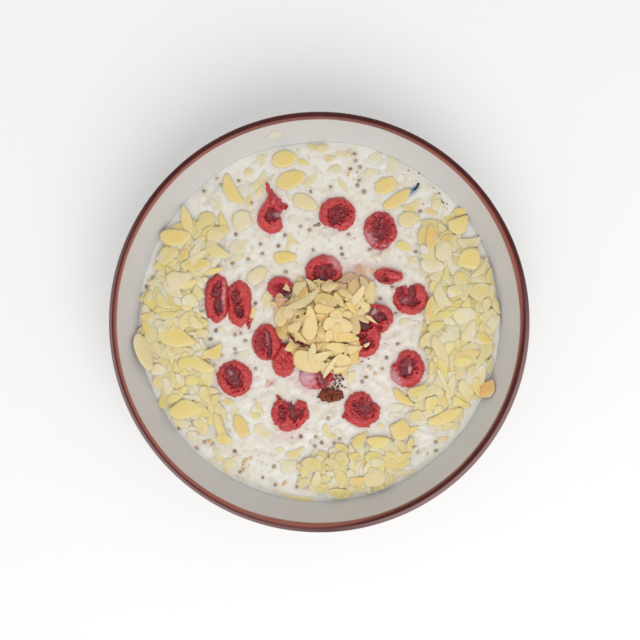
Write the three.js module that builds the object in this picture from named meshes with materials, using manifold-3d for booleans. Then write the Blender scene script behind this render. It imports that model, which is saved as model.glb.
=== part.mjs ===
// A bowl of milky porridge with torn cherries, flaked almonds and a dried fruit piece.
// Millimetres, +Z up. The origin is the centre of the foot ring, on the table.

import * as THREE from 'three';
import { mergeVertices } from 'three/addons/utils/BufferGeometryUtils.js';
import Module from 'manifold-3d';

const wasm = await Module();
wasm.setup();

// ---- driving dimensions ----

const BOWL_RADIUS = 105;
const BOWL_HEIGHT = 52;
const BOWL_WALL = 4.4;
const FOOT_RADIUS = 49;
const FOOT_WIDTH = 4.5;
const FOOT_HEIGHT = 3.5;
const FLOOR_THICKNESS = 4.5;
const SIDES = 40;

const PORRIDGE_LEVEL = 34;
const PORRIDGE_SWELL = 0.35;
const MENISCUS = 0.8;
const GAP = 0.3;

const CHERRY_SIDES = 14;
const CHERRY_CREST = 4;
const CHERRY_DEPTH = 6;
const TEAR_WIDTH = 0.42;

const FLAKE_SIDES = 9;
const FLAKE_THICKNESS = 1.1;
const FLAKE_CURL = 0.06;

const DRIFT_SIDES = 20;

const HEAP_HEIGHT = 12.5;
const HEAP_EDGE = 1.6;
const HEAP_CENTRE = [2, 0];
const HEAP_SIDES = 18;

// How far the heap reaches from its centre, anticlockwise in equal steps from +X.
const HEAP_REACH = [16.5, 33, 24, 20.5, 25.5, 25, 20, 26, 28, 25];

// ---- the toppings, each with its place on the porridge and its size ----

// A tear is [direction in degrees, depth], a part of the radius; a tip stands out where it is negative.
const CHERRIES = {
  cherry_outer_1: { at: [-24.2, 53], size: [15.5, 16], tears: [[0, 0.5], [98, -1.0]] },
  cherry_outer_2: { at: [9.2, 54.8], size: [19.5, 18.5], tears: [[245, 0.25]] },
  cherry_outer_3: { at: [31, 47], size: [17, 20], tears: [[345, -0.12], [268, -0.1]] },
  cherry_outer_4: { at: [46.7, 12.2], size: [18.5, 17.5], tears: [[100, 0.3]] },
  cherry_outer_5: { at: [44.8, -23.8], size: [18.5, 19.5], tears: [[145, 0.3], [75, -0.1]] },
  cherry_outer_6: { at: [22, -44.5], size: [19, 19], tears: [[40, 0.3], [205, -0.15]] },
  cherry_outer_7: { at: [-15.2, -46.5], size: [19.5, 19], tears: [[90, 0.45], [0, -0.1]] },
  cherry_outer_8: { at: [-43.5, -29], size: [19, 19], tears: [[215, 0.1]] },
  cherry_outer_9_left: { at: [-52.4, 11.8], size: [12, 26], tears: [[70, -0.12]] },
  cherry_outer_9_right: { at: [-40.8, 9.8], size: [12.4, 25], tears: [[262, -0.12], [140, -0.12]] },
  cherry_inner_1: { at: [2.3, 26], size: [19.5, 17.4], tears: [] },
  cherry_inner_2: { at: [-20, 17.8], size: [14, 11.5], tears: [[300, 0.15]] },
  cherry_inner_3: { at: [-26.6, -10.2], size: [16, 19.5], tears: [[35, 0.2]] },
  cherry_inner_4: { at: [-18.2, -19.3], size: [13.2, 18.6], tears: [[200, 0.1]], folded: true },
  cherry_inner_5: { at: [-1.8, -27.8], size: [19, 13.6], tears: [[170, 0.1]], crest: 2.6 },
  cherry_inner_6: { at: [24.2, -7.9], size: [14.6, 20.6], tears: [[250, -0.15]] },
  cherry_inner_7: { at: [31.5, 1.5], size: [13.5, 15], tears: [[320, 0.2]] },
  cherry_inner_8: { at: [35.5, 23.5], size: [15, 9], tears: [[0, -0.1], [180, 0.1]], folded: true },
};

const DRIED_FRUIT = { at: [6, -37.3], size: [13.8, 7.6], tears: [[60, 0.2], [200, -0.1]], folded: true };

// A drift lies along the wall: middle and half of its arc in degrees, then the radii it fills.
const DRIFTS = {
  almond_drift_left: { middle: 180, half: 46, inner: 60, outer: 89.5, thickness: 3.6 },
  almond_drift_right: { middle: -2, half: 46, inner: 57, outer: 89.5, thickness: 3.6 },
  almond_drift_front: { middle: -76, half: 22, inner: 66, outer: 88, thickness: 2.2 },
};

// Loose flakes: place, length and width, turn in degrees, and lean where one lies up the wall.
const FLAKES = [
  { at: [-18, 83.5], size: [13, 9.5], turn: 10 },
  { at: [-14.5, 73], size: [16, 10], turn: 17 },
  { at: [-45, 67], size: [18, 7], turn: -60 },
  { at: [-7, 61], size: [14, 9], turn: -25 },
  { at: [-39, 52], size: [12, 11.5], turn: 0 },
  { at: [34, 70], size: [15, 9], turn: 20 },
  { at: [40, 62.5], size: [17, 7], turn: 35 },
  { at: [46, 52.5], size: [12, 9], turn: 0 },
  { at: [-68, 52], size: [15, 7], turn: 105 },
  { at: [-73, 43], size: [16, 9], turn: 0 },
  { at: [-49, 50], size: [14, 6], turn: -75 },
  { at: [-62, 33], size: [15, 6.5], turn: 40 },
  { at: [-71, 22], size: [14, 11], turn: 20 },
  { at: [-17.5, 33], size: [12, 8], turn: 0 },
  { at: [-31.5, 24], size: [12, 8], turn: 40 },
  { at: [57, 43], size: [14, 6], turn: 90 },
  { at: [72, 50], size: [12, 11], turn: 30 },
  { at: [77, 32], size: [13, 12], turn: 60 },
  { at: [75, -16.5], size: [14, 7], turn: 15 },
  { at: [62, -15], size: [18, 7], turn: -65 },
  { at: [64, -48], size: [19, 8], turn: 20 },
  { at: [43, -39.5], size: [14, 5.5], turn: -38 },
  { at: [41, -55], size: [12, 12], turn: 0 },
  { at: [-72, -8], size: [21, 12], turn: -10 },
  { at: [-60, -22], size: [15, 8], turn: -25 },
  { at: [-68, -44], size: [19, 11], turn: 10 },
  { at: [-40, -53], size: [14, 7], turn: -65 },
  { at: [-50, -55], size: [19, 6], turn: -65 },
  { at: [30, -61.5], size: [12, 6.5], turn: 0 },
  { at: [28, -79.5], size: [12, 9], turn: 10 },
  { at: [-89.5, -15.3], size: [20, 9.5], turn: 111, lean: 36 },
  { at: [84.6, -34], size: [12, 10], turn: -112, lean: 34 },
];

// ---- small tools ----

function radians(degrees) {
  return THREE.MathUtils.degToRad(degrees);
}

// Shares every vertex between its triangles and drops the empty triangles at the poles.
function welded(geometry) {
  geometry.deleteAttribute('normal');
  geometry.deleteAttribute('uv');
  const merged = mergeVertices(geometry);
  const corners = merged.getIndex().array;
  const kept = [];
  for (let i = 0; i < corners.length; i += 3) {
    const [a, b, c] = [corners[i], corners[i + 1], corners[i + 2]];
    if (a !== b && b !== c && c !== a) {
      kept.push(a, b, c);
    }
  }
  merged.setIndex(kept);
  return merged;
}

// Turns a profile of [radius, height] pairs round the upright axis.
function turned(profile, sides) {
  const points = profile.map(([radius, height]) => new THREE.Vector2(radius, height));
  const geometry = new THREE.LatheGeometry(points, sides);
  geometry.rotateX(Math.PI / 2);
  return welded(geometry);
}

// Moves every vertex by a function that changes the point it is given.
function reshaped(geometry, move) {
  const positions = geometry.getAttribute('position');
  const point = new THREE.Vector3();
  for (let i = 0; i < positions.count; i += 1) {
    point.fromBufferAttribute(positions, i);
    move(point);
    positions.setXYZ(i, point.x, point.y, point.z);
  }
  return geometry;
}

// The same shape, larger by a margin all round.
function grown(geometry, margin) {
  const copy = geometry.clone();
  copy.computeVertexNormals();
  const positions = copy.getAttribute('position');
  const normals = copy.getAttribute('normal');
  for (let i = 0; i < positions.count; i += 1) {
    positions.setXYZ(
      i,
      positions.getX(i) + margin * normals.getX(i),
      positions.getY(i) + margin * normals.getY(i),
      positions.getZ(i) + margin * normals.getZ(i),
    );
  }
  copy.deleteAttribute('normal');
  return copy;
}

function toSolid(geometry) {
  const vertProperties = new Float32Array(geometry.getAttribute('position').array);
  const triVerts = new Uint32Array(geometry.getIndex().array);
  return new wasm.Manifold(new wasm.Mesh({ numProp: 3, vertProperties, triVerts }));
}

function toGeometry(solid) {
  const mesh = solid.getMesh();
  const geometry = new THREE.BufferGeometry();
  geometry.setAttribute('position', new THREE.BufferAttribute(mesh.vertProperties, 3));
  geometry.setIndex(new THREE.BufferAttribute(mesh.triVerts, 1));
  return geometry;
}

// Cuts the neighbours, each larger by the gap, out of a shape.
function clearOf(geometry, neighbours) {
  geometry.computeBoundingBox();
  const near = neighbours.filter((other) => {
    other.computeBoundingBox();
    return other.boundingBox.clone().expandByScalar(2 * GAP).intersectsBox(geometry.boundingBox);
  });
  if (near.length === 0) {
    return geometry;
  }
  let solid = toSolid(geometry);
  for (const other of near) {
    solid = solid.subtract(toSolid(grown(other, GAP)));
  }
  return toGeometry(solid);
}

// A value read from a list that runs round the circle in equal steps.
function aroundCircle(values, angle) {
  const place = ((angle / (2 * Math.PI)) * values.length + values.length) % values.length;
  const first = Math.floor(place) % values.length;
  const blend = (1 - Math.cos((place - Math.floor(place)) * Math.PI)) / 2;
  return THREE.MathUtils.lerp(values[first], values[(first + 1) % values.length], blend);
}

// Gentle, uneven ups and downs between -1 and 1.
function unevenness(x, y, pitch) {
  const across = Math.sin((x + 0.4 * y) / pitch) * Math.cos((y - 0.3 * x) / pitch + 0.7);
  const finer = Math.sin((2.1 * x - 1.3 * y) / pitch + 1.9);
  return 0.65 * across + 0.35 * finer;
}

function colour(red, green, blue, roughness) {
  const tone = new THREE.Color().setRGB(red / 255, green / 255, blue / 255, THREE.SRGBColorSpace);
  return new THREE.MeshStandardMaterial({ color: tone, roughness, metalness: 0 });
}

// ---- the bowl ----

// The inside of the bowl from the middle of its floor up to the lip.
const insideCurve = new THREE.SplineCurve([
  new THREE.Vector2(0, FOOT_HEIGHT + FLOOR_THICKNESS),
  new THREE.Vector2(0.38 * BOWL_RADIUS, FOOT_HEIGHT + FLOOR_THICKNESS + 0.4),
  new THREE.Vector2(0.65 * BOWL_RADIUS, FOOT_HEIGHT + FLOOR_THICKNESS + 5),
  new THREE.Vector2(0.8 * BOWL_RADIUS, 0.44 * BOWL_HEIGHT),
  new THREE.Vector2(0.895 * BOWL_RADIUS, 0.69 * BOWL_HEIGHT),
  new THREE.Vector2(BOWL_RADIUS - BOWL_WALL, BOWL_HEIGHT - BOWL_WALL / 2),
]);
const INSIDE_STEPS = 8;
const inside = insideCurve.getPoints(INSIDE_STEPS).map((point) => [Math.max(point.x, 0), point.y]);

// A rounded lip between the inside and the outside of the wall.
function lipArc() {
  const middle = BOWL_RADIUS - BOWL_WALL / 2;
  const base = BOWL_HEIGHT - BOWL_WALL / 2;
  return [30, 65, 100, 140].map((degrees) => [
    middle + (BOWL_WALL / 2) * Math.cos(radians(degrees)),
    base + (BOWL_WALL / 2) * Math.sin(radians(degrees)),
  ]);
}

function bowlShape() {
  const footTop = FOOT_HEIGHT + 1;
  const outside = [
    [0, FOOT_HEIGHT - 0.5],
    [FOOT_RADIUS - FOOT_WIDTH - 1, FOOT_HEIGHT - 0.5],
    [FOOT_RADIUS - FOOT_WIDTH, 0],
    [FOOT_RADIUS, 0],
    [FOOT_RADIUS + 0.8, footTop],
    [0.68 * BOWL_RADIUS, footTop + 4],
    [0.83 * BOWL_RADIUS, 0.36 * BOWL_HEIGHT],
    [0.925 * BOWL_RADIUS, 0.6 * BOWL_HEIGHT],
    [BOWL_RADIUS - 1, 0.86 * BOWL_HEIGHT],
    [BOWL_RADIUS, BOWL_HEIGHT - BOWL_WALL / 2],
  ];
  return turned([...outside, ...lipArc(), ...inside.slice().reverse()], SIDES);
}

// ---- the porridge ----

function porridgeTop(x, y) {
  return PORRIDGE_LEVEL + PORRIDGE_SWELL * unevenness(x, y, 9);
}

// The inside of the bowl, moved in by the gap.
function porridgeSide() {
  const points = [];
  for (let i = 0; i < inside.length - 1; i += 1) {
    const [radius, height] = inside[i];
    const [nextRadius, nextHeight] = inside[i + 1];
    const slope = Math.atan2(nextHeight - height, nextRadius - radius);
    const inward = radius === 0 ? 0 : GAP * Math.sin(slope);
    points.push([radius - inward, height + GAP * Math.cos(slope) + 0.05]);
  }
  return points;
}

function porridgeShape() {
  const brim = PORRIDGE_LEVEL + MENISCUS;
  const side = porridgeSide();
  const below = side.filter(([, height]) => height < brim - 2);
  const above = side[below.length];
  const last = below[below.length - 1];
  const blend = (brim - last[1]) / (above[1] - last[1]);
  const brimRadius = THREE.MathUtils.lerp(last[0], above[0], blend) - 0.1;
  const rings = [brimRadius - 2.5, 74, 52, 30, 12, 0];
  const top = rings.map((radius) => [radius, PORRIDGE_LEVEL]);
  const shape = turned([...below, [brimRadius, brim], ...top], SIDES);
  return reshaped(shape, (point) => {
    if (point.z === PORRIDGE_LEVEL) {
      point.z = porridgeTop(point.x, point.y);
    }
  });
}

// ---- the toppings ----

// Radius of a topping's outline: an oval with its tears and its standing tips.
function tornRadius(spec, angle) {
  const halfLength = spec.size[0] / 2;
  const halfWidth = spec.size[1] / 2;
  const oval = 1 / Math.hypot(Math.cos(angle) / halfLength, Math.sin(angle) / halfWidth);
  let factor = 1;
  for (const [direction, depth] of spec.tears) {
    const off = angle - radians(direction);
    const away = Math.abs(Math.atan2(Math.sin(off), Math.cos(off)));
    const width = depth < 0 ? TEAR_WIDTH * 0.55 : TEAR_WIDTH;
    factor -= depth * Math.exp(-((away / width) ** 2));
  }
  return oval * factor;
}

// Spreads a turned unit form over an outline and sets it at its place.
function spread(form, spec, outline) {
  return reshaped(form, (point) => {
    const angle = Math.atan2(point.y, point.x);
    const reach = Math.hypot(point.x, point.y) * outline(angle);
    point.x = spec.at[0] + reach * Math.cos(angle);
    point.y = spec.at[1] + reach * Math.sin(angle);
  });
}

// A pitted cherry, torn open, half sunk in the porridge: a torn rim round a hollow.
function cherryShape(spec) {
  const crest = PORRIDGE_LEVEL + (spec.crest ?? CHERRY_CREST);
  const rise = crest - PORRIDGE_LEVEL;
  const body = [
    [0, PORRIDGE_LEVEL - CHERRY_DEPTH],
    [0.84, PORRIDGE_LEVEL - 0.65 * CHERRY_DEPTH],
    [1, PORRIDGE_LEVEL + 0.2 * rise],
    [0.9, PORRIDGE_LEVEL + 0.75 * rise],
  ];
  const hollow = [[0.72, crest], [0.45, PORRIDGE_LEVEL + 0.6 * rise], [0, PORRIDGE_LEVEL + 0.3 * rise]];
  const fold = [[0.6, crest - 0.2], [0, crest]];
  const form = turned([...body, ...(spec.folded ? fold : hollow)], CHERRY_SIDES);
  return spread(form, spec, (angle) => tornRadius(spec, angle));
}

// A drift of small flakes, lying on the porridge along the wall of the bowl.
function driftShape(spec) {
  const middleRadius = (spec.inner + spec.outer) / 2;
  const halfWidth = (spec.outer - spec.inner) / 2;
  const form = turned([[0, 0], [0.6, 0], [0.96, 0], [1, 0.3], [0.8, 0.75], [0.4, 0.95], [0, 1]], DRIFT_SIDES);
  return reshaped(form, (point) => {
    const angle = Math.atan2(point.y, point.x);
    const ragged = 1 - 0.06 * (1 + Math.sin(5 * angle + 0.8)) * Math.hypot(point.x, point.y);
    const turn = radians(spec.middle - spec.half * ragged * point.x);
    const radius = middleRadius + halfWidth * ragged * point.y;
    point.x = radius * Math.cos(turn);
    point.y = radius * Math.sin(turn);
    const lumps = 0.5 * unevenness(point.x, point.y, 4);
    const cover = point.z * (spec.thickness + lumps);
    point.z = porridgeTop(point.x, point.y) + 2 * GAP + cover;
  });
}

// The heap of dry flakes in the middle.
function heapShape() {
  const form = turned(
    [[0, 0], [0.95, 0], [1, 0.12], [0.86, 0.42], [0.62, 0.72], [0.34, 0.92], [0, 1]],
    HEAP_SIDES,
  );
  reshaped(form, (point) => {
    const lumps = point.z * 0.09 * unevenness(point.x * 22, point.y * 22, 4);
    const lifted = point.z > 0 ? HEAP_EDGE * (1 - point.z) : 0;
    point.z = point.z * (1 + lumps) * (HEAP_HEIGHT - 2 * GAP) + lifted * point.z;
  });
  spread(form, { at: HEAP_CENTRE }, (angle) => aroundCircle(HEAP_REACH, angle));
  return reshaped(form, (point) => {
    point.z += porridgeTop(point.x, point.y) + 2 * GAP;
  });
}

// One almond flake: a thin egg-shaped slice, a little curled, lying flat at height nought.
function flakeShape(spec) {
  const form = turned(
    [[0, 0], [1, 0.3 * FLAKE_THICKNESS], [0.9, FLAKE_THICKNESS], [0, FLAKE_THICKNESS]],
    FLAKE_SIDES,
  );
  reshaped(form, (point) => {
    const pointed = 1 - 0.16 * point.x;
    point.x *= spec.size[0] / 2;
    point.y *= (spec.size[1] / 2) * pointed;
    point.z += FLAKE_CURL * (point.y ** 2) * (2 / spec.size[1]);
  });
  form.rotateX(radians(spec.lean ?? 0));
  form.rotateZ(radians(spec.turn));
  form.translate(spec.at[0], spec.at[1], 0);
  return form;
}

// Lets a flake down until it all but touches what lies under it.
function settled(flake, meshesBelow) {
  const down = new THREE.Vector3(0, 0, -1);
  const point = new THREE.Vector3();
  const positions = flake.getAttribute('position');
  let lift = -Infinity;
  for (let i = 0; i < positions.count; i += 1) {
    point.fromBufferAttribute(positions, i);
    const start = new THREE.Vector3(point.x, point.y, 2 * BOWL_HEIGHT);
    const [hit] = new THREE.Raycaster(start, down).intersectObjects(meshesBelow);
    lift = Math.max(lift, hit.point.z - point.z);
  }
  flake.translate(0, 0, lift + 2 * GAP);
  return flake;
}

// ---- the whole ----

const glaze = colour(214, 210, 202, 0.3);
const milk = colour(226, 221, 209, 0.4);
const cherryFlesh = colour(176, 48, 52, 0.3);
const almond = colour(226, 204, 146, 0.55);
const driedSkin = colour(118, 50, 32, 0.7);

const group = new THREE.Group();

function addNode(name, geometry, material) {
  const mesh = new THREE.Mesh(geometry, material.clone());
  mesh.name = name;
  group.add(mesh);
  return mesh;
}

const sunken = [];
const topMeshes = [];

addNode('bowl', bowlShape(), glaze);
topMeshes.push(group.children[0]);

for (const [name, spec] of Object.entries(CHERRIES)) {
  const shape = clearOf(cherryShape(spec), sunken);
  sunken.push(shape);
  topMeshes.push(addNode(name, shape, cherryFlesh));
}

const driedFruit = clearOf(cherryShape(DRIED_FRUIT), sunken);
sunken.push(driedFruit);
topMeshes.push(addNode('dried_fruit', driedFruit, driedSkin));

topMeshes.push(addNode('porridge', clearOf(porridgeShape(), sunken), milk));
topMeshes.push(addNode('almond_heap', clearOf(heapShape(), sunken), almond));

for (const [name, spec] of Object.entries(DRIFTS)) {
  topMeshes.push(addNode(name, clearOf(driftShape(spec), sunken), almond));
}

FLAKES.forEach((spec, index) => {
  const name = `almond_flake_${String(index + 1).padStart(2, '0')}`;
  topMeshes.push(addNode(name, settled(flakeShape(spec), topMeshes), almond));
});

export default group;
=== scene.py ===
# %% [markdown]
# # A bowl of porridge with cherries and flaked almonds
#
# The frame is the measured model: a bowl, its porridge and every large topping, each at its true place
# and size, but plain. This lesson puts a fine piece over each of them: a glazed bowl, milky oats, torn
# wet cherries, curled almond flakes and small seeds. All lengths are metres, so `MM` turns millimetres
# into metres. The finished look must not outgrow it.

# %% Load the frame
import math

import bpy
import numpy as np
from mathutils import Matrix, Vector
from mathutils.bvhtree import BVHTree


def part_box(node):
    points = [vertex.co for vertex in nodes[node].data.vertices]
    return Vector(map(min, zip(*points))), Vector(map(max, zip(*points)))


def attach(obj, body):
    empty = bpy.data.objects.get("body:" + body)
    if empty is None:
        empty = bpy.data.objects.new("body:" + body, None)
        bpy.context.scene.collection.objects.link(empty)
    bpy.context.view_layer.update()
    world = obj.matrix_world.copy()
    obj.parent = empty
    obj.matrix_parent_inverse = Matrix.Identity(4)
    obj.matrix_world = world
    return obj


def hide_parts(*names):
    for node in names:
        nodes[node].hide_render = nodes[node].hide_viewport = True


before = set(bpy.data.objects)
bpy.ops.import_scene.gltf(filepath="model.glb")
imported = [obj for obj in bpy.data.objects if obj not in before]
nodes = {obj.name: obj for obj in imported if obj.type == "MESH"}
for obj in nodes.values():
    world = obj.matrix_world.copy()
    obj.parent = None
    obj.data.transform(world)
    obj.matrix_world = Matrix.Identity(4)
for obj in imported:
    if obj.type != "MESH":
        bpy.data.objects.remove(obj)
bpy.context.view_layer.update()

MM = 0.001

# %% [markdown]
# ## What the frame says
#
# Three numbers rule everything else: how high the rim stands, how wide the bowl is, and how high the
# porridge reaches. The porridge solid has a small raised edge against the wall, so its level lies a
# little under its highest point.

# %% Read the leading sizes
MENISCUS = 0.8 * MM
rim_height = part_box("bowl")[1].z
bowl_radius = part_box("bowl")[1].x
porridge_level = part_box("porridge")[1].z - MENISCUS
heap_low, heap_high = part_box("almond_heap")
print(f"rim {rim_height:.4f}, radius {bowl_radius:.4f}, level {porridge_level:.4f}")

# %% [markdown]
# ## Helpers for making pieces
#
# Nearly every piece here is a closed skin of rings, one above the other, with a point at each end: a
# bowl, a cherry and an almond flake differ only in their rings. So one helper makes the skin, one joins
# many skins into a single mesh, and one hands the mesh to the scene. Smooth random waves stand in for
# sculpting: they are seeded, so the bowl comes out the same each time.

# %% Skins made of rings
def ring_skin(first, rings, last):
    """Corner points, four-sided faces and three-sided faces of a closed skin."""
    count, sides = rings.shape[:2]
    points = np.vstack([first[None], rings.reshape(-1, 3), last[None]])
    side = np.arange(sides)
    following = (side + 1) % sides
    quads = []
    for ring in range(count - 1):
        low = 1 + ring * sides
        high = low + sides
        quads.append(np.stack([low + side, low + following, high + following, high + side], 1))
    top = 1 + (count - 1) * sides
    lower_fan = np.stack([np.zeros(sides, int), 1 + following, 1 + side], 1)
    upper_fan = np.stack([top + side, top + following, np.full(sides, len(points) - 1)], 1)
    return points, np.vstack(quads), np.vstack([lower_fan, upper_fan])


def joined(skins):
    """Puts many skins into one list of points and faces."""
    points, quads, triangles, start = [], [], [], 0
    for skin in skins:
        points.append(skin[0])
        quads.append(skin[1] + start)
        triangles.append(skin[2] + start)
        start += len(skin[0])
    return np.vstack(points), np.vstack(quads), np.vstack(triangles)


# %% Handing a skin to the scene
def add_piece(name, skin, material, stands_for=(), values=None):
    """Makes a smooth mesh piece that rides with the bowl and stands for CAD nodes."""
    points, quads, triangles = skin
    mesh = bpy.data.meshes.new(name)
    mesh.from_pydata(points.tolist(), [], quads.tolist() + triangles.tolist())
    mesh.shade_smooth()
    for key, numbers in (values or {}).items():
        mesh.attributes.new(key, "FLOAT", "POINT").data.foreach_set("value", np.asarray(numbers, np.float32))
    mesh.materials.append(material)
    piece = bpy.data.objects.new(name, mesh)
    bpy.context.scene.collection.objects.link(piece)
    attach(piece, "root")
    if stands_for:
        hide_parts(*stands_for)
    return piece


# %% Smooth random waves
def waves(points, size, seed, terms=16):
    """Random ups and downs, mostly between -1 and 1, about `size` from crest to crest."""
    maker = np.random.default_rng(seed)
    points = np.asarray(points, float)
    ways = maker.normal(size=(terms, points.shape[-1]))
    ways /= np.linalg.norm(ways, axis=1)[:, None]
    lengths = size * maker.uniform(0.7, 1.5, terms)
    starts = maker.uniform(0, 2 * math.pi, terms)
    total = np.zeros(points.shape[:-1])
    for way, length, start in zip(ways, lengths, starts):
        total += np.cos(points @ way * (2 * math.pi / length) + start)
    return total / math.sqrt(terms)


def loop_waves(angles, cycles, seed):
    """The same round a circle: about `cycles` crests in one turn."""
    circle = np.stack([np.cos(angles), np.sin(angles)], -1)
    return waves(circle, 2 * math.pi / cycles, seed)


def smooth_step(low, high, value):
    """0 below `low`, 1 above `high`, and an even curve between."""
    part = np.clip((value - low) / (high - low), 0, 1)
    return part * part * (3 - 2 * part)


# %% [markdown]
# ## Helpers for finishes
#
# A finish is a Principled shader fed by a few nodes: noise for mottling, a stored value on the mesh for
# things like "how deep inside the cherry", and a bump for relief too fine for the mesh. The helpers keep
# each finish short enough to read.

# %% Node helpers
def new_finish(name, **sockets):
    """A material with a Principled shader whose named sockets are set."""
    material = bpy.data.materials.new(name)
    material.use_nodes = True
    shader = material.node_tree.nodes["Principled BSDF"]
    for key, value in sockets.items():
        shader.inputs[key.replace("_", " ")].default_value = value
    return material, shader


def add_node(material, kind, **settings):
    """A node with its settings, which are either properties or input sockets."""
    node = material.node_tree.nodes.new(kind)
    for key, value in settings.items():
        if hasattr(node, key):
            setattr(node, key, value)
        else:
            node.inputs[key.replace("_", " ")].default_value = value
    return node


def link(material, source, target):
    """A wire from one socket to another."""
    material.node_tree.links.new(source, target)


def noise_value(material, scale, detail=3.0, roughness=0.55):
    """Noise between about 0.2 and 0.8, with `scale` features in a metre."""
    place = add_node(material, "ShaderNodeTexCoord")
    noise = add_node(material, "ShaderNodeTexNoise", Scale=scale, Detail=detail, Roughness=roughness)
    link(material, place.outputs["Object"], noise.inputs["Vector"])
    return noise.outputs["Fac"]


def stored_value(material, key):
    """The number that each point of a mesh stores under a name."""
    return add_node(material, "ShaderNodeAttribute", attribute_name=key).outputs["Fac"]


def ramp(material, value, stops):
    """Colours along a value: stops are (place, (red, green, blue)), as linear light."""
    node = add_node(material, "ShaderNodeValToRGB")
    elements = node.color_ramp.elements
    while len(elements) < len(stops):
        elements.new(0.5)
    for element, (place, tone) in zip(elements, stops):
        element.position = place
        element.color = (*tone, 1)
    link(material, value, node.inputs["Fac"])
    return node.outputs["Color"]


def mix(material, factor, first, second):
    """Mixes two colours, each a socket or a fixed tone, by a socket or a fixed factor."""
    node = add_node(material, "ShaderNodeMix", data_type="RGBA")
    for socket, source in ((node.inputs[0], factor), (node.inputs[6], first), (node.inputs[7], second)):
        if isinstance(source, bpy.types.NodeSocket):
            link(material, source, socket)
        elif isinstance(source, tuple):
            socket.default_value = (*source, 1)
        else:
            socket.default_value = source
    return node.outputs[2]


def remap(material, value, low, high, to_low=0.0, to_high=1.0):
    """Spreads the part of a value between low and high over a new span."""
    node = add_node(material, "ShaderNodeMapRange")
    for socket, number in zip(list(node.inputs)[1:5], (low, high, to_low, to_high)):
        socket.default_value = number
    link(material, value, node.inputs[0])
    return node.outputs[0]


def add_bump(material, shader, height, distance, strength=1.0):
    """Relief too fine for the mesh: `distance` is how deep it looks, in metres."""
    node = add_node(material, "ShaderNodeBump", Strength=strength, Distance=distance)
    link(material, height, node.inputs["Height"])
    link(material, node.outputs["Normal"], shader.inputs["Normal"])


# %% [markdown]
# ## Table, camera and light
#
# The bowl is seen from straight above, but for a fifth of a degree of lean towards the eater, from about
# two thirds of a metre over the rim. The table is plain and pale. One wide soft lamp on the eater's side
# makes the far wall of the bowl a little brighter than the near one, and a white surround fills every
# shadow.

# %% Camera
VIEW_DISTANCE = 0.650
VIEW_TILT = math.radians(0.2)
VIEW_TURN = math.radians(17.0)
FRAME_WIDTH = 0.3187
SENSOR_WIDTH = 36.0
SHIFT_RIGHT = 0.0012
SHIFT_UP = 0.0030
aim = Vector((0.0, 0.0, rim_height))
lean = Vector((math.sin(VIEW_TURN), -math.cos(VIEW_TURN), 0)) * math.sin(VIEW_TILT)
camera_place = aim + (lean + Vector((0, 0, math.cos(VIEW_TILT)))) * VIEW_DISTANCE

camera_data = bpy.data.cameras.new("camera")
camera_data.sensor_width = SENSOR_WIDTH
camera_data.lens = SENSOR_WIDTH * VIEW_DISTANCE / FRAME_WIDTH
camera = bpy.data.objects.new("camera", camera_data)
back = (camera_place - aim).normalized()
right = Vector((0, 1, 0)).cross(back).normalized()
up = back.cross(right)
facing = Matrix((right, up, back)).transposed().to_quaternion()
camera.matrix_world = Matrix.LocRotScale(camera_place, facing, None)
camera_data.shift_x = SHIFT_RIGHT
camera_data.shift_y = SHIFT_UP
bpy.context.scene.collection.objects.link(camera)
bpy.context.scene.camera = camera
print(f"lens {camera_data.lens:.1f} mm")

# %% Lamp and surround
LAMP_WIDTH = 0.9
LAMP_POWER = 4.6
LAMP_PLACE = (0.16, -0.55, 0.85)
SURROUND_TONE = (1.0, 0.995, 0.985, 1)
SURROUND_STRENGTH = 0.74
lamp_data = bpy.data.lights.new("soft_lamp", "AREA")
lamp_data.shape = "DISK"
lamp_data.size = LAMP_WIDTH
lamp_data.energy = LAMP_POWER
lamp = bpy.data.objects.new("soft_lamp", lamp_data)
lamp.location = LAMP_PLACE
lamp.rotation_euler = (aim - lamp.location).to_track_quat("-Z", "Y").to_euler()
bpy.context.scene.collection.objects.link(lamp)

surround = bpy.data.worlds.new("surround")
surround.use_nodes = True
sky = surround.node_tree.nodes["Background"]
sky.inputs["Color"].default_value = SURROUND_TONE
sky.inputs["Strength"].default_value = SURROUND_STRENGTH
bpy.context.scene.world = surround
bpy.context.scene.view_settings.view_transform = "Standard"
print(f"lamp {LAMP_WIDTH} m wide, {LAMP_POWER} W")

# %% Table
TABLE_HALF = 3.0
TABLE_TONE = (0.93, 0.93, 0.93, 1)
table_corners = [(x * TABLE_HALF, y * TABLE_HALF, 0) for x, y in ((-1, -1), (1, -1), (1, 1), (-1, 1))]
table_mesh = bpy.data.meshes.new("table")
table_mesh.from_pydata(table_corners, [], [(0, 1, 2, 3)])
table_finish = new_finish("pale_table", Base_Color=TABLE_TONE, Roughness=0.9)[0]
table_mesh.materials.append(table_finish)
table = bpy.data.objects.new("table", table_mesh)
bpy.context.scene.collection.objects.link(table)
print("table:", 2 * TABLE_HALF, "m square")

# %% [markdown]
# ## The glazed bowl
#
# A bowl like this is turned on a wheel, so a lathe is the natural way to make it: one outline, turned
# round. The frame already holds the outline as a chain of straight steps. It is read from the frame,
# smoothed with a spline that passes through every step, and turned again with many more sides.

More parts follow.
